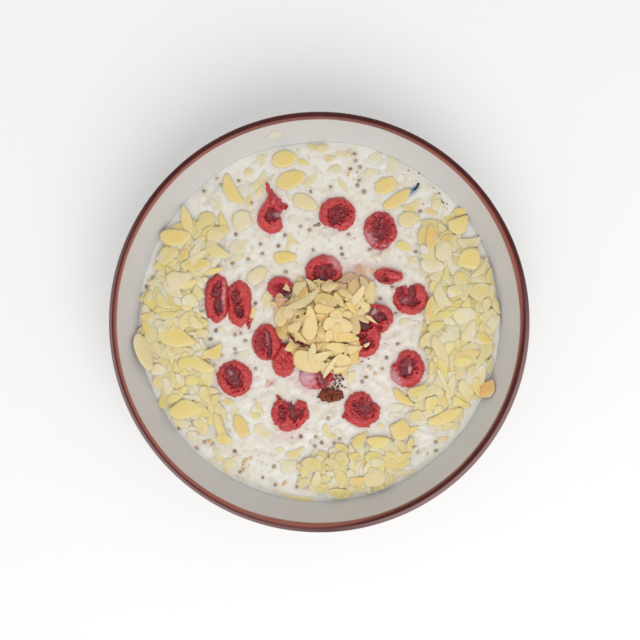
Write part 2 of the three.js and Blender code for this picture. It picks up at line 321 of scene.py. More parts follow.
# %% Read the turned outline from the frame
def turned_outline(node):
    """The half section of a turned CAD node, from the axis below to the axis above."""
    mesh = nodes[node].data
    points = np.array([vertex.co[:] for vertex in mesh.vertices])
    section = np.round(points[(abs(points[:, 1]) < 1e-6) & (points[:, 0] > -1e-6)][:, [0, 2]], 6)
    section = np.unique(section, axis=0)
    chain = [section[np.lexsort((section[:, 1], section[:, 0]))[0]]]
    linked = set()
    for edge in mesh.edges:
        ends = points[list(edge.vertices)]
        if (abs(ends[:, 1]) < 1e-6).all() and (ends[:, 0] > -1e-6).all():
            a, b = (tuple(np.round(end[[0, 2]], 6)) for end in ends)
            linked.add((a, b))
            linked.add((b, a))
    seen = {tuple(chain[0])}
    while True:
        here = tuple(chain[-1])
        ahead = [b for a, b in linked if a == here and b not in seen]
        if not ahead:
            break
        seen.add(ahead[0])
        chain.append(np.array(ahead[0]))
    return np.array(chain)


bowl_steps = turned_outline("bowl")
print("outline steps:", len(bowl_steps))


# %% Smooth the outline and turn it
def through_points(steps, parts):
    """A Catmull-Rom curve through the steps, with each stretch cut into equal parts."""
    padded = np.vstack([2 * steps[0] - steps[1], steps, 2 * steps[-1] - steps[-2]])
    curve = []
    for before, start, end, after in zip(padded[:-3], padded[1:-2], padded[2:-1], padded[3:]):
        for part in np.arange(parts) / parts:
            bend = (
                2 * start
                + (end - before) * part
                + (2 * before - 5 * start + 4 * end - after) * part**2
                + (3 * start - before - 3 * end + after) * part**3
            )
            curve.append(bend / 2)
    curve.append(steps[-1])
    return np.array(curve)


def turn(outline, sides):
    """Turns an outline of (radius, height) round the upright axis."""
    angles = np.arange(sides) * 2 * math.pi / sides
    middle = outline[1:-1]
    rings = np.stack(
        [
            middle[:, :1] * np.cos(angles),
            middle[:, :1] * np.sin(angles),
            np.repeat(middle[:, 1:], sides, 1),
        ],
        -1,
    )
    return ring_skin(np.array([0, 0, outline[0, 1]]), rings, np.array([0, 0, outline[-1, 1]]))


BOWL_SIDES = 180
bowl_outline = through_points(bowl_steps, 6)
bowl_outline[:, 0] = np.clip(bowl_outline[:, 0], 0, bowl_radius)
bowl_outline[:, 1] = np.clip(bowl_outline[:, 1], 0, rim_height)
bowl_skin = turn(bowl_outline, BOWL_SIDES)
top_step = int(np.argmax(bowl_outline[:, 1]))
inside_outline = bowl_outline[top_step:][::-1]
print("bowl points:", len(bowl_skin[0]))


def wall_radius(height):
    """Radius of the inside of the bowl at a height."""
    return np.interp(height, inside_outline[:, 1], inside_outline[:, 0])


# %% [markdown]
# The glaze is a warm white, smooth but not mirror-bright. A painter held a brush of dark red on the rim
# while the bowl turned, so the line covers the lip, runs a little down both sides, and its lower edge
# wavers slightly and lies higher at the far left, where the brush was lighter. Where the paint thins, at
# its inner edge, the glaze breaks to copper, least of all on the far side, where it is thickest. Outside,
# at the near right and the near left, a lilac sheen is painted into the red: a painted reflection on the
# outer side of the lip. Each point of the skin stores how far it is inside the line, how thin the paint is
# and how strong the painted sheen is.

# %% Glaze with its painted rim line
LINE_INSIDE = 2.5 * MM
LINE_OUTSIDE = 4.2 * MM
LINE_BLUR = 0.4 * MM
LIP_CROWN = bowl_radius - 2.2 * MM
LIGHT_SIDE = math.radians(135)
THICK_SIDE = math.radians(90)
# Directions of the painted sheen, a painted reflection on the outer side of the lip.
SHEEN_RIGHT = math.radians(-38)
SHEEN_LEFT = math.radians(212)


def painted_line(points):
    """How far each point is inside the painted rim line, and how thin the paint is."""
    radius = np.hypot(points[:, 0], points[:, 1])
    angle = np.arctan2(points[:, 1], points[:, 0])
    light = smooth_step(-0.7, 0.15, np.cos(angle - LIGHT_SIDE))
    sheen_right = smooth_step(0.55, 0.95, np.cos(angle - SHEEN_RIGHT))
    sheen_left = smooth_step(0.3, 0.95, np.cos(angle - SHEEN_LEFT))
    depth = np.where(radius > LIP_CROWN, LINE_OUTSIDE, LINE_INSIDE - 1.55 * MM * light)
    waver = 0.12 * MM * loop_waves(angle, 9, 3) + 0.07 * MM * loop_waves(angle, 40, 4)
    inside = points[:, 2] - (rim_height - depth) + waver
    thin_to = LIP_CROWN + (0.3 - 1.4 * sheen_right) * MM
    thick = smooth_step(0.8, 1.0, np.cos(angle - THICK_SIDE))
    thin = (0.85 - 0.35 * thick) * smooth_step(thin_to, thin_to - 1.6 * MM, radius)
    # The painted sheen: a lilac painted reflection outside, at the near right and near left, strongest near
    # the top.
    outside_right = smooth_step(LIP_CROWN - 0.3 * MM, LIP_CROWN + 0.5 * MM, radius) * sheen_right
    outside_left = smooth_step(LIP_CROWN + 0.2 * MM, LIP_CROWN + 0.9 * MM, radius) * sheen_left
    high = 0.35 + 0.65 * smooth_step(rim_height - 3.2 * MM, rim_height - 2.2 * MM, points[:, 2])
    return {
        "painted": smooth_step(-LINE_BLUR, LINE_BLUR, inside),
        "thin": thin,
        "painted_sheen": 0.95 * high * np.maximum(outside_right, outside_left),
    }


glaze, glaze_shader = new_finish("white_glaze_red_rim", Roughness=0.3, IOR=1.5)
glaze_shader.inputs["Specular IOR Level"].default_value = 0.2
glaze_shader.inputs["Coat Weight"].default_value = 0.08
glaze_shader.inputs["Coat Roughness"].default_value = 0.12
glaze_white = ramp(
    glaze,
    noise_value(glaze, 9.0, 2.0),
    [(0.3, (0.615, 0.592, 0.578)), (0.7, (0.635, 0.622, 0.61))],
)
glaze_red = ramp(
    glaze,
    noise_value(glaze, 160.0, 3.0),
    [(0.3, (0.046, 0.0042, 0.0034)), (0.75, (0.088, 0.010, 0.0085))],
)
glaze_red = mix(glaze, stored_value(glaze, "thin"), glaze_red, (0.37, 0.125, 0.094))
# Mix in the painted sheen, a painted reflection on the outer side of the rim line.
glaze_red = mix(glaze, stored_value(glaze, "painted_sheen"), glaze_red, (0.26, 0.15, 0.15))
glaze_tone = mix(glaze, stored_value(glaze, "painted"), glaze_white, glaze_red)
link(glaze, glaze_tone, glaze_shader.inputs["Base Color"])
add_bump(glaze, glaze_shader, noise_value(glaze, 60.0, 2.0), 0.0004, 0.35)
add_piece("glazed_bowl", bowl_skin, glaze, ["bowl"], painted_line(bowl_skin[0]))

# %% [markdown]
# ## A map of heights
#
# Toppings lie on each other, so each one has to know what is under it. A map of heights over the bowl,
# half a millimetre a square, plays the part of gravity: a flake looks at the heights under it, tilts to
# suit them, comes to rest, and adds its own top to the map. The same squares also hold soft marks, such
# as an oat that shows dimly through the milk.

# %% The map
MAP_CELL = 0.5 * MM
MAP_HALF = bowl_radius
map_count = int(2 * MAP_HALF / MAP_CELL) + 1
map_line = -MAP_HALF + np.arange(map_count) * MAP_CELL
places = np.stack(np.meshgrid(map_line, map_line, indexing="xy"), -1)
map_radius = np.hypot(places[..., 0], places[..., 1])


def map_index(spots):
    """Row and column of the map square under each spot."""
    cells = np.clip(np.round((spots + MAP_HALF) / MAP_CELL).astype(int), 0, map_count - 1)
    return cells[..., 1], cells[..., 0]


def map_value(grid, spots):
    """Value of a map at each spot, blended between its four nearest squares."""
    cells = np.clip((spots + MAP_HALF) / MAP_CELL, 0, map_count - 1.001)
    column, row = (cells[..., axis].astype(int) for axis in (0, 1))
    right_part = cells[..., 0] - column
    upper_part = cells[..., 1] - row
    lower = grid[row, column] * (1 - right_part) + grid[row, column + 1] * right_part
    upper = grid[row + 1, column] * (1 - right_part) + grid[row + 1, column + 1] * right_part
    return lower * (1 - upper_part) + upper * upper_part


def tops_of(names):
    """Height of the highest of some CAD nodes at each square of the map, or -1 where there is none."""
    tops = np.full((map_count, map_count), -1.0)
    for name in names:
        low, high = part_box(name)
        tree = BVHTree.FromObject(nodes[name], bpy.context.evaluated_depsgraph_get())
        rows, columns = map_index(np.array([[low.x, low.y], [high.x, high.y]]))
        for row in range(rows[0], rows[1] + 1):
            for column in range(columns[0], columns[1] + 1):
                hit = tree.ray_cast(Vector((map_line[column], map_line[row], 1)), Vector((0, 0, -1)))[0]
                if hit is not None:
                    tops[row, column] = max(tops[row, column], hit.z)
    return tops


drift_names = [name for name in nodes if name.startswith("almond_drift")]
cherry_names = sorted(name for name in nodes if name.startswith("cherry"))
flake_names = sorted(name for name in nodes if name.startswith("almond_flake"))
drift_tops = tops_of(drift_names)
heap_tops = tops_of(["almond_heap"])
cherry_tops = tops_of(cherry_names + ["dried_fruit"])
squares = [int((tops > 0).sum()) for tops in (drift_tops, heap_tops, cherry_tops)]
print("squares under drifts, heap, cherries:", *squares)


# %% Soft marks
def mark(grid, spot, length, width, turn_angle, strength=1.0, blur=0.5):
    """Presses a soft-edged oval into a map."""
    spot = np.asarray(spot)
    reach = max(length, width) / 2 * (1 + blur) + MAP_CELL
    (low_row, high_row), (low_column, high_column) = map_index(np.array([spot - reach, spot + reach]))
    window = slice(low_row, high_row + 1), slice(low_column, high_column + 1)
    offset = places[window] - spot
    along = offset @ (math.cos(turn_angle), math.sin(turn_angle)) * 2 / length
    across = offset @ (-math.sin(turn_angle), math.cos(turn_angle)) * 2 / width
    pressed = strength * smooth_step(1 + blur, 1 - blur, np.hypot(along, across))
    grid[window] = np.maximum(grid[window], pressed)


def softened(grid, times):
    """A map whose squares are shared out among their neighbours, again and again."""
    for _ in range(times):
        near = np.roll(grid, 1, 0) + np.roll(grid, -1, 0) + np.roll(grid, 1, 1) + np.roll(grid, -1, 1)
        grid = (grid + near) / 5
    return grid


# %% [markdown]
# ## The milky oats
#
# The porridge is thin: milk with soaked oats just under the surface, which lift it into low bumps and
# show through it as dim beige scraps. It swells under the almond drifts, because the lowest flakes lie in
# it, and at the wall its edge falls away in a soft shoulder, most on the eater's side. It is one turned
# skin with several hundred sides. A height function moves its top, and the marks of oats, seeds, cherry
# juice and a stray blue smear are stored on its points, so that they look drowned in the milk and not
# laid on it.

# %% Where the oats lie
maker = np.random.default_rng(7)
edge_radius = float(wall_radius(porridge_level + MENISCUS))


def random_spot(inner=0.0, outer=edge_radius - 4 * MM):
    """A random spot on the porridge, between two radii."""
    angle = maker.uniform(0, 2 * math.pi)
    radius = math.sqrt(maker.uniform(inner**2, outer**2))
    return np.array([radius * math.cos(angle), radius * math.sin(angle)])


OATS_IN_MILK = 1150
oat_map = np.zeros((map_count, map_count))
for _ in range(OATS_IN_MILK):
    oat_length = maker.uniform(3.0, 7.5) * MM
    oat_width = oat_length * maker.uniform(0.35, 0.8)
    oat_spot = random_spot()
    oat_turn = maker.uniform(0, math.pi)
    mark(oat_map, oat_spot, oat_length, oat_width, oat_turn, maker.uniform(0.15, 1.0), 0.45)
print(f"squares with oats: {(oat_map > 0.1).mean():.0%}")

# %% Where the seeds lie
# Chia seeds that show clearly: how far each lies to the right and to the far side, in millimetres, from
# the middle of the bowl.
SEEDS_SEEN = (
    (-59, 67), (-56.3, 62.2), (-52.3, 73.5), (-50.2, 70.4), (-41.2, 72.3), (-42.6, 44.8), (-40.4, 34.7),
    (-36.5, 32.2), (-29.1, 34.8), (-20.8, 38.9), (-9.6, 48.9), (-4.9, 46.9), (-2.2, 49.3), (-0.4, 49.8),
    (-4.4, 66.8), (-44.2, 30), (-85, 22.8), (-88.4, 18.1), (-86.6, 6.6), (-17.1, 25.7), (-32.5, 9.6),
    (15, 86.4), (18.2, 85.9), (18.6, 82.6), (20.9, 79.2), (15.9, 78.2), (20.6, 72.4), (19.6, 69.9),
    (22.9, 66.6), (5.9, 69.2), (51.7, 56.7), (11.3, 37.9), (11.7, 34.7), (15, 44.8), (51.9, 47.3),
    (49.2, 36), (31.2, 12), (39.1, 4.4), (37.3, 17.9), (30.1, 76.5), (-52.8, -4.5), (-43.1, -6.5),
    (-40.2, -5.8), (-37.9, -9.5), (-55.6, -8.9), (-43, -13.7), (-42.6, -16), (-32.5, -23.9), (-75.8, -32.8),
    (-71.8, -54.2), (-58.5, -61.4), (-62.4, -64.3), (-54.6, -62.5), (-43.3, -66.1), (-39.1, -75.4),
    (-40.6, -76.6), (-23.1, -73.9), (-28.7, -79.3), (-22.5, -83.1), (-11.6, -84.3), (-7.1, -84),
    (-1.6, -58.6), (-2.1, -63.3), (-9.4, -58.6), (40.2, -11.3), (34.4, -18.3), (32.3, -23.9), (24, -28.3),
    (22, -30.6), (60, -6.1), (62.7, -41), (59.7, -61.4), (59.7, -65.6), (48.5, -60.4), (48.1, -65.4),
    (50.3, -66.5), (56.1, -53.5), (10.6, -59.8), (7.4, -61.7), (16.5, -60.4), (1.2, -61.8), (4.5, -49.2),
    (-17.6, 44.4), (-30, 40), (-34.5, 61), (26, 37), (-3, 37), (55, 51),
)
SUNK_SEEDS = 130
seed_map = np.zeros((map_count, map_count))
for seed_spot in SEEDS_SEEN:
    mark(seed_map, np.array(seed_spot) * MM, 3.0 * MM, 2.7 * MM, 0, maker.uniform(0.25, 0.5), 0.8)
for _ in range(SUNK_SEEDS):
    mark(seed_map, random_spot(), 2.4 * MM, 2.0 * MM, 0, maker.uniform(0.08, 0.34), 0.9)
print("seeds that show:", len(SEEDS_SEEN), "and drowned:", SUNK_SEEDS)

# %% Juice and a blue smear
# Cherry juice in the milk: spot, length and width in millimetres, turn in degrees, strength.
JUICE = (
    (-18, -58.5, 13, 6, 5, 0.28), (-25, -31.5, 6, 2.2, 35, 0.75), (-9, -32, 13, 6, -40, 0.4),
    (31, 38.5, 9, 3, -15, 0.5), (28, 26, 12, 7, -20, 0.45), (19, 27, 16, 9, 10, 0.4),
    (-21, 10, 9, 7, 0, 0.4), (20, -20.5, 7, 3, 0, 0.4), (38, -30, 6, 3.5, -50, 0.35), (8, 46, 5, 3, 0, 0.3),
    (-24, 12.5, 6, 4, 60, 0.3),
)
juice_map = np.zeros((map_count, map_count))
for x, y, length, width, degrees, strength in JUICE:
    mark(juice_map, (x * MM, y * MM), length * MM, width * MM, math.radians(degrees), strength, 0.8)
for name in cherry_names:
    low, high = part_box(name)
    size = (high - low) * 1.12
    mark(juice_map, ((low.x + high.x) / 2, (low.y + high.y) / 2), size.x, size.y, 0, 0.13, 0.16)
blue_map = np.zeros((map_count, map_count))
mark(blue_map, (47.6 * MM, 67.2 * MM), 7 * MM, 3.4 * MM, math.radians(35), 0.85, 0.8)
mark(blue_map, (-53 * MM, 68 * MM), 6 * MM, 3 * MM, math.radians(40), 0.22, 0.8)
mark(blue_map, (-5 * MM, 52.5 * MM), 4 * MM, 2 * MM, 0, 0.2, 0.8)

# %% Height of the milk
EDGE_DROP = 0.6 * MM
NEAR_DROP = 1.6 * MM
SWELL_PART = 0.80
OAT_BUMP = 0.26 * MM
OAT_LIFT = 0.22 * MM
drift_swell = softened(np.clip(drift_tops - porridge_level, 0, None), 30)


def brim_height(angles):
    """Height at which the milk meets the wall: lower on the eater's side."""
    film = 0.4 * MM * loop_waves(angles, 14, 21) + 0.2 * MM * loop_waves(angles, 45, 22)
    near_side = smooth_step(0.2, 1.0, -np.sin(angles))
    return porridge_level - EDGE_DROP - NEAR_DROP * near_side + np.clip(film, -0.7 * MM, 0.9 * MM)


def milk_height(spots):
    """Height of the porridge surface at each spot."""
    radius = np.hypot(spots[..., 0], spots[..., 1])
    broad = 0.18 * MM * waves(spots, 30 * MM, 11)
    lumps = OAT_BUMP * waves(spots, 5.5 * MM, 12, 24) * waves(spots, 14 * MM, 14)
    grain = 0.09 * MM * waves(spots, 2.4 * MM, 13, 24)
    calm = smooth_step(edge_radius, edge_radius - 6 * MM, radius)
    swell = SWELL_PART * map_value(drift_swell, spots)
    oats = OAT_LIFT * map_value(oat_map, spots)
    brim = brim_height(np.arctan2(spots[..., 1], spots[..., 0]))
    shoulder = np.exp(-((np.clip(wall_radius(brim) - radius, 0, None) / (2.0 * MM)) ** 2))
    relief = (broad + lumps + grain + oats) * calm
    return porridge_level + relief + swell + (brim - porridge_level) * shoulder


milk_map = milk_height(places)
wall_line = np.linspace(inside_outline[0, 1], rim_height, 400)
wall_map = np.interp(map_radius, wall_radius(wall_line), wall_line)
print(f"milk from {milk_map.min():.4f} to {milk_map.max():.4f}")


# %% The porridge skin
PORRIDGE_SIDES = 600
PORRIDGE_RINGS = 150


def porridge_skin():
    """One closed skin: up along the wall from the floor, then inward over the milk."""
    angles = np.arange(PORRIDGE_SIDES) * 2 * math.pi / PORRIDGE_SIDES
    brim = brim_height(angles)
    into_wall = 0.05 * MM
    made = []
    for height in np.linspace(inside_outline[0, 1] + 0.3 * MM, porridge_level - 1 * MM, 12):
        radius = np.full(PORRIDGE_SIDES, wall_radius(height) - 0.3 * MM)
        made.append((radius, np.full(PORRIDGE_SIDES, height)))
    made.append((wall_radius(brim) + into_wall, brim))
    for part in np.linspace(1, 0, PORRIDGE_RINGS + 1)[:-1]:
        radius = (wall_radius(brim) - 0.25 * MM) * part
        spots = np.stack([radius * np.cos(angles), radius * np.sin(angles)], -1)
        made.append((radius, np.maximum(milk_height(spots), map_value(drift_milk, spots))))
    ring_points = np.array(
        [np.stack([radius * np.cos(angles), radius * np.sin(angles), height], -1) for radius, height in made]
    )
    bottom = np.array([0, 0, inside_outline[0, 1] + 0.3 * MM])
    middle = np.array([0, 0, ring_points[-1, :, 2].mean()])
    return ring_skin(bottom, ring_points, middle)


# %% Finish of the milk
milk, milk_shader = new_finish("milky_oats", Roughness=0.3, IOR=1.38)
milk_shader.inputs["Subsurface Weight"].default_value = 0.3
milk_shader.inputs["Subsurface Radius"].default_value = (1.0, 0.8, 0.6)
milk_shader.inputs["Subsurface Scale"].default_value = 0.0015
milk_tone = ramp(
    milk,
    noise_value(milk, 75.0, 4.0, 0.6),
    [(0.34, (0.762, 0.748, 0.695)), (0.56, (0.76, 0.735, 0.66)), (0.74, (0.735, 0.705, 0.62))],
)
oat_edge = add_node(milk, "ShaderNodeMath", operation="MULTIPLY")
link(milk, stored_value(milk, "oat"), oat_edge.inputs[0])
link(milk, remap(milk, noise_value(milk, 330.0, 3.0, 0.6), 0.32, 0.66), oat_edge.inputs[1])
milk_tone = mix(milk, oat_edge.outputs[0], milk_tone, (0.66, 0.545, 0.405))
bran_flecks = remap(milk, noise_value(milk, 520.0, 2.0), 0.66, 0.8, 0.0, 0.22)
milk_tone = mix(milk, bran_flecks, milk_tone, (0.66, 0.54, 0.37))
milk_tone = mix(milk, stored_value(milk, "seed"), milk_tone, (0.42, 0.31, 0.21))
milk_tone = mix(milk, stored_value(milk, "juice"), milk_tone, (0.60, 0.26, 0.32))
milk_tone = mix(milk, stored_value(milk, "blue"), milk_tone, (0.08, 0.20, 0.38))
link(milk, milk_tone, milk_shader.inputs["Base Color"])
add_bump(milk, milk_shader, noise_value(milk, 700.0, 3.0), 0.0002, 0.5)
print("finish:", milk.name)


# %% [markdown]
# ## The torn cherries
#
# Each cherry was pitted and torn open, so it lies as a wet cup of red flesh round one or two dark
# hollows. The frame gives the outline of each one from above. The skin climbs from that outline to a
# rounded crest and stays nearly level, and then each hollow is pressed into it as a long oval with a
# ragged edge, the way a thumb would press clay. Where milk has run in, the flesh dips under the milk.
# Waves of two sizes roughen it: lumps of flesh and wrinkles, both stronger inside the hollows. The flesh
# is painted darker the deeper it lies in a hollow, partly its own wine colour and partly painted shade,
# and the crests of the wrinkles are painted a little lighter, a painted highlight.

# %% Outline of a solid from above
def outline_of(node, count):
    """Centre of a CAD node from above, and how far it reaches in each direction."""
    mesh = nodes[node].data
    points = np.array([vertex.co[:] for vertex in mesh.vertices])
    centre = (points.min(0) + points.max(0))[:2] / 2
    ends = np.array([edge.vertices[:] for edge in mesh.edges])
    first = points[ends[:, 0], :2] - centre
    second = points[ends[:, 1], :2] - centre
    reach = np.zeros(count)
    for step in range(count):
        angle = 2 * math.pi * step / count
        along = np.array([math.cos(angle), math.sin(angle)])
        across = np.array([-math.sin(angle), math.cos(angle)])
        one = first @ across
        two = second @ across
        crossing = (one * two <= 0) & (abs(one - two) > 1e-12)
        part = one[crossing] / (one - two)[crossing]
        reach[step] = ((first @ along)[crossing] * (1 - part) + (second @ along)[crossing] * part).max()
    return centre, reach


def smooth_loop(values, times):
    """Evens out numbers that go round a loop, again and again."""
    for _ in range(times):
        values = (values + np.roll(values, 1) + np.roll(values, -1)) / 3
    return values


# %% Hollows, pools, films of milk and painted highlights
# Long ovals in millimetres from the middle of the bowl: x, y, length, width, turn in degrees, strength.
HOLLOWS = {
    "cherry_outer_1": ((-24.4, 54.6, 6.6, 5.2, 75, 1.0), (-21.5, 54.6, 4.5, 3.2, 0, 0.8)),
    "cherry_outer_2": ((9.9, 55.2, 11.5, 9.5, 20, 0.62), (7.9, 51.8, 6.5, 4, 40, 0.9)),
    "cherry_outer_3": (
        (31.2, 47.6, 11.5, 14, 0, 0.55), (30.6, 44.8, 5, 5, 0, 1.0), (29.2, 49.5, 3, 5, 20, 0.85),
    ),
    "cherry_outer_4": (
        (47.2, 15, 8.5, 3.6, 88, 1.0), (42.6, 12.8, 9, 5.5, 95, 0.58), (47.5, 10, 6, 4.5, 0, 0.75),
    ),
    "cherry_outer_5": (
        (44.4, -22.6, 10, 9, 70, 0.62), (44.2, -26, 5, 4, 0, 0.95), (43.8, -20.5, 5, 3, 100, 0.85),
    ),
    "cherry_outer_6": (
        (22.2, -43.5, 12, 11, 0, 0.5), (24, -44.2, 7.5, 4.5, 20, 0.95), (19, -42.4, 3.5, 2.5, 0, 0.8),
    ),
    "cherry_outer_7": (
        (-13.7, -45.2, 11, 3.6, -75, 1.0), (-19, -46, 8.5, 5, 85, 0.62), (-9.4, -46, 6, 3.4, 80, 0.6),
    ),
    "cherry_outer_8": ((-44.0, -27.8, 13.5, 7.4, -62, 0.8), (-42.8, -30.4, 6, 3.8, -60, 0.9)),
    "cherry_outer_9_left": ((-52.2, 16.2, 9, 4.8, 75, 0.75), (-51.6, 8.4, 9, 4, 95, 0.95)),
    "cherry_outer_9_right": ((-42.6, 12.6, 12, 4.4, 100, 0.6), (-40.8, 5.6, 7, 4.2, 110, 0.85)),
    "cherry_inner_1": ((2.6, 25.2, 12, 8.5, 15, 0.7), (0.2, 21.2, 8, 5, 20, 1.0)),
    "cherry_inner_2": ((-16.8, 15.2, 6, 5.5, 0, 1.0), (-20.8, 17.6, 6, 5, 30, 0.4)),
    "cherry_inner_3": (
        (-26.4, -8.8, 11, 3.4, -80, 0.9), (-25.4, -15.8, 7, 2, 85, 1.0), (-29.6, -9.6, 12, 6.5, 85, 0.5),
    ),
    "cherry_inner_5": ((1.6, -28.4, 6, 8, 0, 0.9),),
    "cherry_inner_6": (
        (22.2, -1.2, 8.5, 6.5, 0, 1.0), (24.4, -11.2, 6.5, 5, 30, 0.7), (21, -7.5, 6, 3, 20, 0.6),
    ),
    "cherry_inner_7": ((31.2, 2.6, 7.5, 4.6, 20, 1.0), (30, -4.2, 5, 3, 60, 0.6)),
    "cherry_inner_4": ((-13.5, -13, 8, 5, -20, 0.7),),
    "cherry_inner_8": ((32.8, 22.2, 6, 4, 0, 0.5),),
}
POOLS = {
    "cherry_outer_1": ((-17.4, 54.5, 6.0, 2.6, 0, 1.0),),
    "cherry_outer_2": ((8.6, 46.6, 2.6, 2, 90, 1.0),),
    "cherry_outer_4": ((45.6, 19.6, 3.5, 1.6, 90, 1.0),),
    "cherry_outer_5": ((38.4, -18.2, 2.6, 1.4, -40, 1.0),),
    "cherry_outer_6": ((29.4, -38.6, 4.5, 1.4, 30, 1.0),),
    "cherry_outer_7": ((-12.6, -39.6, 6, 2.4, 85, 1.0), (-17.8, -39, 3, 1.4, 70, 1.0)),
    "cherry_inner_7": ((28.3, 4.9, 4.5, 1.8, 40, 1.0),),
}
# Films of milk on the flesh. Some ovals here are painted highlights, lilac glints on wet flesh: those on
# outer 4 and 8, the small one on outer 5, and the slit of inner 3.
FILMS_AND_GLINTS = {
    "cherry_outer_1": ((-21, 54.8, 3.5, 2.5, 0, 0.5),),
    "cherry_outer_3": ((26.4, 42.4, 9, 4, -55, 0.5), (33, 38, 8, 3, 20, 0.45)),
    "cherry_outer_4": ((43.8, 10.7, 3, 2.4, 30, 0.45),),
    "cherry_outer_5": ((38.8, -28.6, 11, 4.5, -60, 0.6), (46.2, -24.2, 3.4, 1.5, 85, 1.0)),
    "cherry_outer_8": ((-45.3, -26, 3.4, 1.6, -60, 0.4),),
    "cherry_outer_9_left": ((-48.8, 13, 14, 1.6, 88, 0.5),),
    "cherry_inner_1": ((8.8, 30.6, 9, 5, -50, 0.5), (5.5, 19, 6, 3, 0, 0.4)),
    "cherry_inner_3": ((-26.6, -8.4, 7, 1.2, -80, 0.3),),
    "cherry_inner_5": ((-7, -27.4, 9, 12, 20, 0.85),),
    "cherry_inner_7": ((28, 5.6, 8, 3, 40, 0.6),),
}
FOLDED = ("cherry_inner_4", "cherry_inner_8")
# How square or ragged an outline is, and bulges on it: direction in degrees and part of the radius.
SQUARED = {"cherry_outer_9_left": 0.09, "cherry_outer_9_right": 0.08}
RAGGED = {"dried_fruit": 0.07, "cherry_outer_7": 0.035, "cherry_outer_6": 0.03}
BULGES = {"cherry_inner_8": ((165, 0.16), (60, -0.2), (-40, -0.12))}


def pressed_in(points, ovals, seed, ragged=0.16, sharp=0.42):
    """How far each point lies inside some long ovals with ragged edges."""
    inside = np.zeros(points.shape[:-1])
    warp = 1 + ragged * waves(points[..., :2], 2.6 * MM, seed, 12)
    for x, y, length, width, degrees, strength in ovals:
        turn_angle = math.radians(degrees)
        offset = points[..., :2] - np.array([x, y]) * MM
        along = offset @ (math.cos(turn_angle), math.sin(turn_angle)) * 2 / (length * MM)
        across = offset @ (-math.sin(turn_angle), math.cos(turn_angle)) * 2 / (width * MM)
        far = np.hypot(along, across) * warp
        inside = np.maximum(inside, strength * smooth_step(1 + sharp, 1 - sharp, far))
    return inside


# %% One cherry
CHERRY_SIDES = 132
FLESH_RINGS = 40
HOLLOW_FLOOR = 1.15 * MM
POOL_DEPTH = 1.2 * MM


